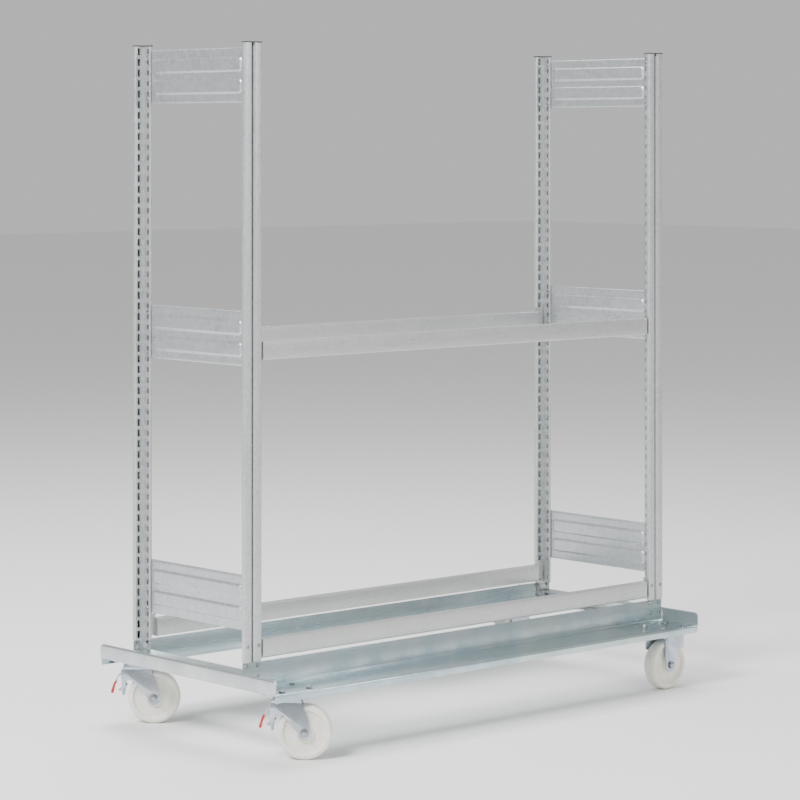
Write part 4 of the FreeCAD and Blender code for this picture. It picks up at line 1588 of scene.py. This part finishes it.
@dataclass(frozen=True)
class HexBolt:
    """Hexagon bolt with a collar under the head and a threaded end."""

    across: float = 15.0
    head: float = 5.3
    collar: float = 1.1
    shank: float = 4.0
    length: float = 14.0
    pitch: float = 1.25

    def mesh(self) -> bpy.types.Mesh:
        """Head above the origin, shank below it."""
        shape = Shape()
        shape.prism(hexagon(self.across), self.collar * 0.5, self.head, as_drawn)
        shape.soften(0.6)
        rest = Shape()
        rim = self.across / 2 + 0.6
        profile = [(0.0, 0.0), (rim, 0.0), (rim, self.collar * 0.6)]
        profile += [(rim - 1.0, self.collar), (0.0, self.collar)]
        rest.lathe(profile, 24, as_drawn)
        thread = [(0.0, 0.0), (self.shank - 0.3, 0.0), (self.shank - 0.3, -3.0)]
        depth = 3.0
        while depth + self.pitch < self.length:
            thread.append((self.shank, -depth - self.pitch / 2))
            depth += self.pitch
            thread.append((self.shank - 0.5, -depth))
        thread += [(self.shank - 0.9, -self.length), (0.0, -self.length)]
        rest.lathe(thread, 16, as_drawn)
        rest.tidy()
        shape.add(rest)
        return shape.to_mesh("hex_bolt")


@dataclass(frozen=True)
class HexNut:
    """Hexagon nut with broken corners."""

    across: float = 15.0
    height: float = 6.5
    washer: float = 1.2

    def mesh(self) -> bpy.types.Mesh:
        """Nut hanging below the origin."""
        shape = Shape()
        shape.prism(hexagon(self.across), -self.height, -0.6, as_drawn)
        shape.soften(0.7)
        ring = Shape()
        rim = self.across / 2 + 0.9
        ring.lathe(
            [(0.0, 0.0), (rim, 0.0), (rim, -self.washer), (0.0, -self.washer)],
            24,
            as_drawn,
        )
        ring.tidy()
        shape.add(ring)
        return shape.to_mesh("hex_nut")


@dataclass(frozen=True)
class PanScrew:
    """Pan-head screw with a hexagon socket, its shank and its nut."""

    head: float = 5.0
    rise: float = 2.2
    socket: float = 2.3
    shank: float = 2.9
    grip: float = 5.0
    nut: float = 0.0
    nut_height: float = 4.0

    def mesh(self) -> bpy.types.Mesh:
        """Head above the origin, shank and nut below it."""
        dome = arc(self.head - self.rise * 0.8, 0.0, self.rise * 0.8, 0, 80, 5)
        profile = [(0.0, 0.0)] + [(r, z * 1.25) for r, z in dome]
        profile += [
            (self.socket, self.rise),
            (self.socket - 0.1, self.rise * 0.35),
            (0.0, self.rise * 0.3),
        ]
        shape = Shape()
        shape.lathe(profile, 24, as_drawn)
        tail = self.grip + (self.nut_height + 0.5 if self.nut else 0.0)
        shape.lathe(
            [(0.0, 0.0), (self.shank, 0.0), (self.shank, -tail + 0.5)]
            + [(self.shank - 0.5, -tail), (0.0, -tail)],
            12,
            as_drawn,
        )
        shape.tidy()
        if self.nut:
            nut = Shape()
            low = -self.grip - self.nut_height
            nut.prism(hexagon(self.nut * 2), low, -self.grip, as_drawn)
            nut.soften(0.4)
            shape.add(nut)
        return shape.to_mesh("pan_screw")


def cluster_centres(node: str, size: float) -> list[Vector]:
    """Middles of the separate solids of a CAD node, in millimetres.

    Args:
        node: CAD node that holds several solids.
        size: a gap wider than this separates two solids.

    Returns:
        Middle of each solid's box, in a fixed order.
    """
    mesh = bmesh.new()
    mesh.from_mesh(frame["nodes"][node].data)
    bmesh.ops.remove_doubles(mesh, verts=mesh.verts, dist=1e-6)
    centres = []
    seen = set()
    for start in mesh.verts:
        if start in seen:
            continue
        stack, group = [start], []
        seen.add(start)
        while stack:
            vert = stack.pop()
            group.append(vert.co / MM)
            for edge in vert.link_edges:
                other = edge.other_vert(vert)
                if other not in seen:
                    seen.add(other)
                    stack.append(other)
        low = Vector([min(p[i] for p in group) for i in range(3)])
        high = Vector([max(p[i] for p in group) for i in range(3)])
        centres.append((low + high) / 2)
    mesh.free()
    merged: list[Vector] = []
    for centre in sorted(centres, key=tuple):
        if all((centre - other).length > size for other in merged):
            merged.append(centre)
    return merged


@dataclass
class Fasteners:
    """All bolts, nuts and screws of the frame."""

    scatter: ScatterTool
    rail_wall: float = 3.0
    sheet: float = 1.5

    def build(self) -> None:
        """Set every fastener where its CAD solid is."""
        self.castor_bolts()
        self.foot_screws()
        self.panel_screws()

    def castor_bolts(self) -> None:
        """Bolts through the shelf and nuts under the castor plates."""
        up = Vector((0, 0, 1))
        nut_top = high_corner("castor_nuts").z
        shelf = nut_top + 6.0
        heads = []
        nuts = []
        for centre in cluster_centres("castor_nuts", 3.0):
            heads.append((Vector((centre.x, centre.y, shelf)), up))
            nuts.append((Vector((centre.x, centre.y, nut_top)), up))
        bolts = self.scatter.place(
            "castor_bolt_set", HexBolt().mesh(), heads, Finishes.FASTENER, 7
        )
        settle(bolts, FRAME_BODY, ["castor_bolts"])
        lower = self.scatter.place(
            "castor_nut_set", HexNut().mesh(), nuts, Finishes.FASTENER, 11
        )
        settle(lower, FRAME_BODY, ["castor_nuts"])

    def foot_screws(self) -> None:
        """Screws of the foot brackets, heads towards the outside."""
        long_spots = []
        short_spots = []
        low, high = low_corner("foot_screws"), high_corner("foot_screws")
        middle_y = (low.y + high.y) / 2
        wall_top = high_corner("long_rail_front").z
        for centre in cluster_centres("foot_screws", 3.0):
            out = -1.0 if centre.y < middle_y else 1.0
            facing = Vector((0, out, 0))
            upper = centre.z > wall_top
            if upper:
                face = low_corner("upright_front_left").y
                if out > 0:
                    face = high_corner("upright_rear_left").y
                short_spots.append((Vector((centre.x, face, centre.z)), facing))
            else:
                face = high_corner("long_rail_front").y - self.rail_wall
                if out > 0:
                    face = low_corner("long_rail_rear").y + self.rail_wall
                long_spots.append((Vector((centre.x, face, centre.z)), facing))
        through = PanScrew(grip=self.rail_wall + 2.0, nut=5.5)
        lower = self.scatter.place(
            "foot_bolt_set", through.mesh(), long_spots, Finishes.FASTENER, 3
        )
        settle(lower, FRAME_BODY, ["foot_screws"])
        small = PanScrew(head=4.5, rise=1.8, socket=2.0, shank=2.3, grip=3.9)
        upper_set = self.scatter.place(
            "foot_screw_set", small.mesh(), short_spots, Finishes.FASTENER, 5
        )
        settle(upper_set, FRAME_BODY)

    def panel_screws(self) -> None:
        """Screws that hold the side panels, heads on the outer side."""
        spots = []
        stem = 3.0
        for centre in cluster_centres("panel_screws", 3.0):
            post = "upright_front_left" if centre.x < 0 else "upright_front_right"
            face = middle(post).x - stem
            spots.append((Vector((face, centre.y, centre.z)), Vector((-1, 0, 0))))
        screw = PanScrew(
            head=4.5,
            rise=1.8,
            socket=2.0,
            shank=2.4,
            grip=2 * stem + self.sheet,
            nut=5.5,
            nut_height=3.5,
        )
        item = self.scatter.place(
            "panel_screw_set", screw.mesh(), spots, Finishes.FASTENER, 13
        )
        settle(item, FRAME_BODY, ["panel_screws"])


# ---------------------------------------------------------------- castors
def joint_named(name: str) -> dict:
    """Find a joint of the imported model."""
    for joint in frame["joints"]:
        if joint["name"] == name:
            return joint
    raise LookupError(name)


@dataclass
class Wheel:
    """Solid nylon wheel with a hub, a recessed web and a rounded tread."""

    corner: str
    radius: float = 62.5
    bore: float = 10.05
    hub: float = 19.0
    hub_half: float = 18.7
    web_half: float = 10.5
    rim_in: float = 50.0
    rim_half: float = 17.0
    segments: int = 96

    def profile(self) -> Outline:
        """Section of the wheel as radius and distance from its middle."""
        half = [
            Corner(self.bore, self.hub_half, 0.8),
            Corner(self.hub, self.hub_half, 1.6),
            Corner(self.hub + 2.5, self.web_half, 4.0),
            Corner(self.rim_in - 3.0, self.web_half, 5.0),
            Corner(self.rim_in, self.rim_half - 0.5, 2.0),
            Corner(self.radius - 5.0, self.rim_half, 3.0),
            Corner(self.radius, self.rim_half - 6.0, 9.0),
        ]
        other = [Corner(c.across, -c.up, c.radius) for c in reversed(half)]
        return rounded_outline(half + other, steps=5)

    def build(self) -> None:
        """Turn the wheel about its rolling axis."""
        joint = joint_named("roll_" + self.corner)
        centre = Vector(joint["pos_m"]) / MM
        axis = Vector(joint["axis"]).normalized()
        side = Vector((axis.y, -axis.x, 0))

        def place(a: float, b: float, s: float) -> tuple[float, float, float]:
            """Map two radial directions and the axle's direction."""
            spot = centre + side * a + Vector((0, 0, b)) + axis * s
            return tuple(spot)

        shape = Shape()
        shape.lathe(self.profile(), self.segments, place)
        shape.tidy()
        name = f"castor_wheel_{self.corner}_cast"
        item = show(shape.to_mesh(name, Finishes.NYLON), name)
        body = "wheel_" + self.corner
        settle(item, body, ["castor_wheel_" + self.corner])


@dataclass
class Castor:
    """Shared frame of a castor: its centre and the way it points."""

    corner: str
    leg_in: float = 19.0
    leg_out: float = 22.0
    axle_height: float = 62.5
    plate_low: float = 152.0

    def centre(self) -> Vector:
        """Point of the floor below the castor's middle."""
        raise NotImplementedError

    def axle_direction(self) -> Vector:
        """Direction of the axle."""
        return Vector(joint_named("roll_" + self.corner)["axis"]).normalized()

    def along(self) -> Vector:
        """Direction from the middle towards the axle."""
        axle = self.axle_direction()
        return Vector((axle.y, -axle.x, 0))

    def side_place(self) -> Place:
        """Map along, up and across the castor to the rack's frame."""
        centre, along, axle = self.centre(), self.along(), self.axle_direction()

        def place(a: float, b: float, s: float) -> tuple[float, float, float]:
            """Side view of the castor, drawn across its width."""
            return tuple(centre + along * a + axle * s + Vector((0, 0, b)))

        return place

    def round_place(self, a0: float, b0: float) -> Place:
        """Map a turned part whose axis lies across the castor."""
        flat = self.side_place()

        def place(a: float, b: float, s: float) -> tuple[float, float, float]:
            """Turned part about an axis across the castor."""
            return flat(a0 + a, b0 + b, s)

        return place

    def plan_place(self) -> Place:
        """Map a turned part whose axis is upright."""
        centre, along, axle = self.centre(), self.along(), self.axle_direction()

        def place(a: float, b: float, s: float) -> tuple[float, float, float]:
            """Plan view of the castor, drawn upwards."""
            return tuple(centre + along * a + axle * b + Vector((0, 0, s)))

        return place

    def axle(self, at: float, body: str) -> None:
        """Axle bolt with washers, a hexagon head and a nut.

        Args:
            at: distance of the axle from the castor's middle.
            body: body that it rides on.
        """
        place = self.round_place(at, self.axle_height)
        shape = Shape()
        for side in (-1, 1):
            inner = self.leg_out + 1.2
            outer = self.leg_out + (6.0 if side < 0 else 5.2)
            ends = sorted((side * inner, side * outer))
            head = Shape()
            head.prism(hexagon(18.0), ends[0], ends[1], place)
            head.soften(0.9)
            shape.add(head)
        turned = Shape()
        for side in (-1, 1):
            washer = [(0.0, self.leg_out), (10.5, self.leg_out)]
            washer += [(10.5, self.leg_out + 1.2), (0.0, self.leg_out + 1.2)]
            turned.lathe([(r, side * h) for r, h in washer], 28, place)
        tip = self.leg_out + 8.5
        turned.lathe(
            [(0.0, self.leg_out), (4.6, self.leg_out), (4.6, tip - 0.8)]
            + [(3.8, tip), (0.0, tip)],
            20,
            place,
        )
        tube = [(0.0, -self.leg_in), (9.9, -self.leg_in), (9.9, self.leg_in)]
        turned.lathe(tube + [(0.0, self.leg_in)], 32, place)
        turned.tidy()
        shape.add(turned)
        name = f"castor_axle_{self.corner}_bolt"
        item = show(shape.to_mesh(name, Finishes.FASTENER), name)
        settle(item, body, ["castor_axle_" + self.corner])


@dataclass
class SwivelCastor(Castor):
    """Swivel castor: pressed fork under a ball race."""

    trail: float = 40.0
    crown_top: float = 143.7
    crown_low: float = 138.0
    shoulder: float = 130.0
    shoulder_fold: float = 5.0

    def centre(self) -> Vector:
        """Point of the floor below the kingpin."""
        at = middle("castor_kingpin_" + self.corner)
        return Vector((at.x, at.y, 0))

    def front_edge(self, z: float) -> float:
        """Leading edge of the fork's shoulders at a height."""
        return -30.0 - (self.crown_top - z) * 8.0 / 17.7

    def back_edge(self, z: float) -> float:
        """Trailing edge of the fork's shoulders at a height."""
        return 30.0 + (self.crown_top - z) * 25.0 / 81.2

    def shoulders(self, shape: Shape) -> None:
        """Bridge of the fork with its rounded shoulders."""
        mid = (self.leg_in + self.leg_out) / 2
        top = self.crown_top - 1.5
        corners = [
            Corner(-mid, self.shoulder),
            Corner(-mid, top, self.shoulder_fold),
            Corner(mid, top, self.shoulder_fold),
            Corner(mid, self.shoulder),
        ]
        flat = self.side_place()

        def place(a: float, b: float, s: float) -> tuple[float, float, float]:
            """Across, up and a share of the length."""
            reach = self.front_edge(b) * (1 - s) + self.back_edge(b) * s
            return flat(reach, b, a)

        shape.sheet(corners, 3.0, [0.0, 1.0], place, steps=6)

    def leg(self) -> Outline:
        """Outline of one leg below the shoulders."""
        return rounded_outline(
            [
                Corner(self.front_edge(self.shoulder), self.shoulder),
                Corner(-38.0, 126.0, 2.0),
                Corner(-38.0, 106.0, 4.0),
                Corner(-9.0, 103.5, 14.0),
                Corner(self.trail - 15.0, self.axle_height, 4.0),
                Corner(self.trail - 14.0, self.axle_height - 15.0, 12.0),
                Corner(self.trail + 14.5, self.axle_height - 15.0, 12.0),
                Corner(self.trail + 15.5, self.axle_height, 6.0),
                Corner(self.back_edge(self.shoulder), self.shoulder),
            ],
            steps=6,
        )

    def build(self) -> None:
        """Build fork, axle, wheel and brake."""
        shape = Shape()
        self.shoulders(shape)
        shape.soften(0.5)
        place = self.side_place()
        for side in (-1, 1):
            low, high = sorted((side * self.leg_in, side * self.leg_out))
            leg = Shape()
            leg.prism(self.leg(), low, high, place)
            leg.soften(0.6)
            shape.add(leg)
        turned = Shape()
        crown = [
            (6.05, self.crown_low),
            (28.0, self.crown_low),
            (30.3, self.crown_low + 1.2),
            (31.0, self.crown_low + 3.0),
            (30.3, self.crown_top - 0.6),
            (29.0, self.crown_top),
            (6.05, self.crown_top),
        ]
        turned.lathe(crown, 48, self.plan_place())
        pin = [(0.0, -self.leg_out - 1.6), (3.6, -self.leg_out - 1.6)]
        pin += [(4.6, -self.leg_out - 0.6), (4.6, -self.leg_out)]
        pin += [(3.0, -self.leg_out), (3.0, self.leg_out), (4.6, self.leg_out)]
        pin += [(4.6, self.leg_out + 0.6), (3.6, self.leg_out + 1.6)]
        pin += [(0.0, self.leg_out + 1.6)]
        turned.lathe(pin, 20, self.round_place(-30.0, 116.0))
        turned.tidy()
        shape.add(turned)
        name = f"castor_fork_{self.corner}_pressing"
        item = show(shape.to_mesh(name, Finishes.CASTOR), name)
        body = "swivel_" + self.corner
        settle(item, body, ["castor_fork_" + self.corner])
        self.axle(self.trail, body)
        for part, finish in (
            ("plate", Finishes.CASTOR),
            ("race", Finishes.CASTOR),
            ("kingpin", Finishes.FASTENER),
        ):
            keep_node(f"castor_{part}_{self.corner}", finish, 0.5)


@dataclass
class FixedCastor(Castor):
    """Fixed castor: a plate with two winged legs, each the other's turn."""

    strut: float = 18.0
    wing_top: float = 50.0
    wing_low: float = 36.0
    bend: float = 100.0

    def centre(self) -> Vector:
        """Point of the floor below the plate's middle."""
        at = middle("castor_wheel_" + self.corner)
        return Vector((at.x, at.y, 0))

    def leg(self, hand: float) -> Outline:
        """Outline of one leg.

        Args:
            hand: 1 if the wing points along the castor, else -1.

        Returns:
            The outline's points.
        """
        end = arc(0, self.axle_height, self.strut, 0, -180, 14)
        outline = [(-self.strut, self.plate_low), (self.wing_top, self.plate_low)]
        outline += arc(self.wing_low + 6.0, self.bend + 6.0, 6.0, -20, -70, 4)
        outline += arc(self.strut + 8.0, self.bend - 10.0, 8.0, 110, 180, 6)
        outline += end
        return [(hand * a, b) for a, b in outline]

    def build(self) -> None:
        """Build the fork, its plate and the axle."""
        low = low_corner("castor_fork_" + self.corner)
        high = high_corner("castor_fork_" + self.corner)
        half_x = (high.x - low.x) / 2
        half_y = (high.y - low.y) / 2
        plate = rounded_outline(
            [
                Corner(-half_x, -half_y, 5.0),
                Corner(half_x, -half_y, 5.0),
                Corner(half_x, half_y, 5.0),
                Corner(-half_x, half_y, 5.0),
            ]
        )
        shape = Shape()
        shape.prism(plate, self.plate_low, high.z, self.plan_place())
        shape.soften(0.6)
        place = self.side_place()
        for side, hand in ((-1, 1.0), (1, -1.0)):
            near, far = sorted((side * self.leg_in, side * self.leg_out))
            leg = Shape()
            leg.prism(self.leg(hand), near, far, place)
            leg.soften(0.6)
            shape.add(leg)
            rib = Shape()
            centre_line = rounded_outline(
                [
                    Corner(hand * -9.0, 80.0, 3.0),
                    Corner(hand * 9.0, 80.0, 3.0),
                    Corner(hand * 12.0, 148.0, 3.0),
                    Corner(hand * -12.0, 148.0, 3.0),
                ]
            )
            ends = sorted((side * self.leg_out, side * (self.leg_out + 0.9)))
            rib.prism(centre_line, ends[0], ends[1], place)
            rib.soften(0.5)
            shape.add(rib)
        name = f"castor_fork_{self.corner}_pressing"
        item = show(shape.to_mesh(name, Finishes.CASTOR), name)
        settle(item, FRAME_BODY, ["castor_fork_" + self.corner])
        self.axle(0.0, FRAME_BODY)


@dataclass
class FootBrake:
    """Pedal, shoe, adjusting screw and return spring of a swivel castor."""

    castor: SwivelCastor
    coil: CoilTool
    pivot: tuple[float, float] = (-30.0, 116.0)
    barrel: float = 6.0
    sheet: float = 2.7
    shoe_radius: float = 70.0

    def lever(self, shape: Shape) -> None:
        """Curved pedal strip that narrows towards its tip."""
        flat = self.castor.side_place()
        corners = [
            Corner(-29.0, 120.6),
            Corner(-37.0, 119.4, 6.0),
            Corner(-46.2, 111.0, 9.0),
            Corner(-53.0, 97.2),
        ]

        def place(a: float, b: float, s: float) -> tuple[float, float, float]:
            """Side view; the strip narrows as it goes down."""
            share = min(max((b - 97.0) / 24.0, 0.0), 1.0)
            return flat(a, b, s * (9.5 + 2.5 * share))

        shape.sheet(corners, self.sheet, [-1.0, -0.9, 0.9, 1.0], place, steps=6)

    def shoe(self) -> Outline:
        """Section of the brake shoe, hollowed to the tread."""
        inner = arc(40.0, 62.5, self.shoe_radius, 177.0, 155.5, 8)
        outer = arc(40.0, 62.5, self.shoe_radius + 4.5, 156.5, 176.5, 8)
        return inner + outer

    def build(self) -> None:
        """Build the brake on its own body."""
        castor = self.castor
        place = castor.side_place()
        shape = Shape()
        self.lever(shape)
        shape.soften(0.5)
        shoe = Shape()
        shoe.prism(self.shoe(), -11.0, 11.0, place)
        shoe.soften(0.5)
        shape.add(shoe)
        cheek = rounded_outline(
            [
                Corner(-36.0, 118.0, 3.0),
                Corner(-24.5, 118.0, 3.0),
                Corner(-27.0, 98.0, 6.0),
                Corner(-29.0, 88.0, 3.0),
                Corner(-31.0, 67.0, 2.0),
                Corner(-36.5, 67.0, 2.0),
                Corner(-37.5, 92.0, 6.0),
            ]
        )
        for low in (-11.0, 8.5):
            side = Shape()
            side.prism(cheek, low, low + 2.5, place)
            side.soften(0.4)
            shape.add(side)
        turned = Shape()
        half = castor.leg_in - 0.8
        tube = [(3.1, -half), (self.barrel, -half), (self.barrel, half), (3.1, half)]
        turned.lathe(tube, 28, castor.round_place(*self.pivot))
        turned.tidy()
        shape.add(turned)
        self.screw(shape)
        name = f"brake_lever_{castor.corner}_pedal"
        item = show(shape.to_mesh(name, Finishes.CASTOR), name)
        body = "brake_" + castor.corner
        settle(item, body, ["brake_lever_" + castor.corner])
        self.spring(body)
        self.grip(body)

    def screw(self, shape: Shape) -> None:
        """Adjusting screw and lock nut behind the shoe."""
        flat = self.castor.side_place()
        lean = math.radians(12)

        def place(a: float, b: float, s: float) -> tuple[float, float, float]:
            """Turned part whose axis points forwards and a little down."""
            forward = -33.0 - s * math.cos(lean) - a * math.sin(lean)
            up = 80.0 - s * math.sin(lean) + a * math.cos(lean)
            return flat(forward, up, b)

        rod = Shape()
        rod.lathe(
            [(0.0, 0.0), (2.5, 0.0), (2.5, 12.4), (2.0, 13.0), (0.0, 13.0)], 16, place
        )
        rod.tidy()
        shape.add(rod)
        nut = Shape()
        nut.prism(hexagon(9.2), 3.5, 7.5, place)
        nut.soften(0.4)
        shape.add(nut)

    def spring(self, body: str) -> None:
        """Two short return springs wound round the barrel."""
        place = self.castor.round_place(*self.pivot)
        for side, start in (("near", -17.6), ("far", 12.4)):
            name = f"brake_spring_{self.castor.corner}_{side}"
            seed_mesh = bpy.data.meshes.new(name + "_seed")
            mesh = self.coil.run(
                name,
                seed_mesh,
                Turns=3.0,
                Radius=(self.barrel + 1.0) * MM,
                Height=5.2 * MM,
                Wire_Radius=0.75 * MM,
                Material=Finishes.FASTENER.value.material(),
            )
            for vert in mesh.vertices:
                spot = vert.co / MM
                vert.co = Vector(place(spot.x, spot.y, spot.z + start)) * MM
            tidy = Shape()
            tidy.mesh.from_mesh(mesh)
            bpy.data.meshes.remove(mesh)
            tidy.tidy()
            item = show(tidy.to_mesh(name, Finishes.FASTENER), name)
            settle(item, body)

    def grip(self, body: str) -> None:
        """Red tip moulded over the end of the pedal."""
        place = self.castor.side_place()
        outline = rounded_outline(
            [
                Corner(-48.6, 99.6, 1.2),
                Corner(-53.2, 101.6, 1.4),
                Corner(-58.2, 92.5, 6.0),
                Corner(-63.2, 75.5, 4.0),
                Corner(-61.5, 70.8, 2.2),
                Corner(-57.4, 71.6, 2.2),
                Corner(-54.6, 86.0, 8.0),
            ]
        )
        shape = Shape()
        shape.prism(outline, -11.0, 11.0, place)
        shape.soften(1.3, segments=4, angle=50.0)
        name = f"brake_grip_{self.castor.corner}_tip"
        item = show(shape.to_mesh(name, Finishes.GRIP), name)
        settle(item, body, ["brake_grip_" + self.castor.corner])


# ----------------------------------------------------------------- studio
@dataclass
class Studio:
    """Pale floor, soft lights and the camera."""

    camera_at: tuple[float, float, float] = (-4.8337, -5.2816, 1.3963)
    heading: float = 42.28
    pitch: float = 0.29
    lens: float = 130.7
    shift: tuple[float, float] = (-0.005, -0.345)

    def floor(self) -> None:
        """Large matt floor."""
        mesh = bpy.data.meshes.new("floor")
        reach = 30.0
        corners = [(-reach, -reach, 0), (reach, -reach, 0)]
        corners += [(reach, reach, 0), (-reach, reach, 0)]
        mesh.from_pydata(corners, [], [(0, 1, 2, 3)])
        paint = bpy.data.materials.new("matt studio floor")
        paint.use_nodes = True
        shader = paint.node_tree.nodes["Principled BSDF"]
        shader.inputs["Base Color"].default_value = linear("#f3f3f2")
        shader.inputs["Roughness"].default_value = 0.9
        shader.inputs["Specular IOR Level"].default_value = 0.1
        mesh.materials.append(paint)
        show(mesh, "floor")

    def softbox(
        self,
        name: str,
        at: tuple[float, float, float],
        aim: tuple[float, float, float],
        size: float,
        power: float,
    ) -> None:
        """One square area light.

        Args:
            name: name of the light.
            at: position in metres.
            aim: point that it faces.
            size: side of the light in metres.
            power: power in watts.
        """
        lamp = bpy.data.lights.new(name, "AREA")
        lamp.energy = power
        lamp.size = size
        item = bpy.data.objects.new(name, lamp)
        item.location = at
        direction = Vector(aim) - Vector(at)
        item.rotation_euler = direction.to_track_quat("-Z", "Y").to_euler()
        bpy.context.scene.collection.objects.link(item)

    def sky(self) -> None:
        """Even white surroundings."""
        world = bpy.data.worlds.new("white studio")
        world.use_nodes = True
        background = world.node_tree.nodes["Background"]
        background.inputs["Color"].default_value = linear("#ffffff")
        background.inputs["Strength"].default_value = 0.6
        bpy.context.scene.world = world

    def camera(self) -> None:
        """Long lens, level, with the frame shifted down."""
        data = bpy.data.cameras.new("camera")
        data.sensor_width = 36.0
        data.lens = self.lens
        data.shift_x, data.shift_y = self.shift
        data.clip_end = 200.0
        item = bpy.data.objects.new("camera", data)
        item.location = self.camera_at
        item.rotation_euler = (
            math.radians(90 + self.pitch),
            0.0,
            math.radians(-self.heading),
        )
        bpy.context.scene.collection.objects.link(item)
        bpy.context.scene.camera = item

    def build(self) -> None:
        """Set up the studio."""
        self.floor()
        self.sky()
        self.softbox("key", (-5.0, -1.0, 4.5), (0, 0, 0.9), 1.8, 520.0)
        self.softbox("fill", (2.5, -6.0, 3.0), (0, 0, 0.8), 2.0, 110.0)
        self.softbox("top", (0.5, 1.5, 5.5), (0, 0, 0.8), 3.0, 300.0)
        self.camera()


# ------------------------------------------------------------------- main
class Corners(Enum):
    """The four corners of the rack."""

    FRONT_LEFT = "front_left"
    FRONT_RIGHT = "front_right"
    REAR_LEFT = "rear_left"
    REAR_RIGHT = "rear_right"


def build_frame(row: RowTool, scatter: ScatterTool) -> None:
    """Build uprights, panels, beams, chassis and fasteners."""
    for corner in Corners:
        upright = Upright(corner.value)
        upright.build(row)
        Cap(upright).build()
        keep_node("foot_bracket_" + corner.value, Finishes.FASTENER, 0.4)
    for side in ("left", "right"):
        for level in ("low", "middle", "top"):
            SidePanel(f"side_panel_{side}_{level}").build()
        EndRail("end_rail_" + side).build()
    for row_name in ("front", "rear"):
        for level in ("low", "middle"):
            Beam(f"beam_{row_name}_{level}").build()
            keep_node(f"beam_hooks_{row_name}_{level}", Finishes.BEAM, 0.4)
        LongRail("long_rail_" + row_name).build()
    Fasteners(scatter).build()


def build_castors(coil: CoilTool) -> None:
    """Build the four castors with their wheels and brakes."""
    for corner in Corners:
        Wheel(corner.value).build()
        if corner.value.endswith("left"):
            castor = SwivelCastor(corner.value)
            castor.build()
            FootBrake(castor, coil).build()
        else:
            FixedCastor(corner.value).build()


def main() -> None:
    """Build the rack, then the studio."""
    logging.basicConfig(level=logging.INFO, format="%(name)s: %(message)s")
    build_frame(RowTool("row"), ScatterTool("scatter"))
    build_castors(CoilTool("coil"))
    Studio().build()


if __name__ == "__main__":
    main()
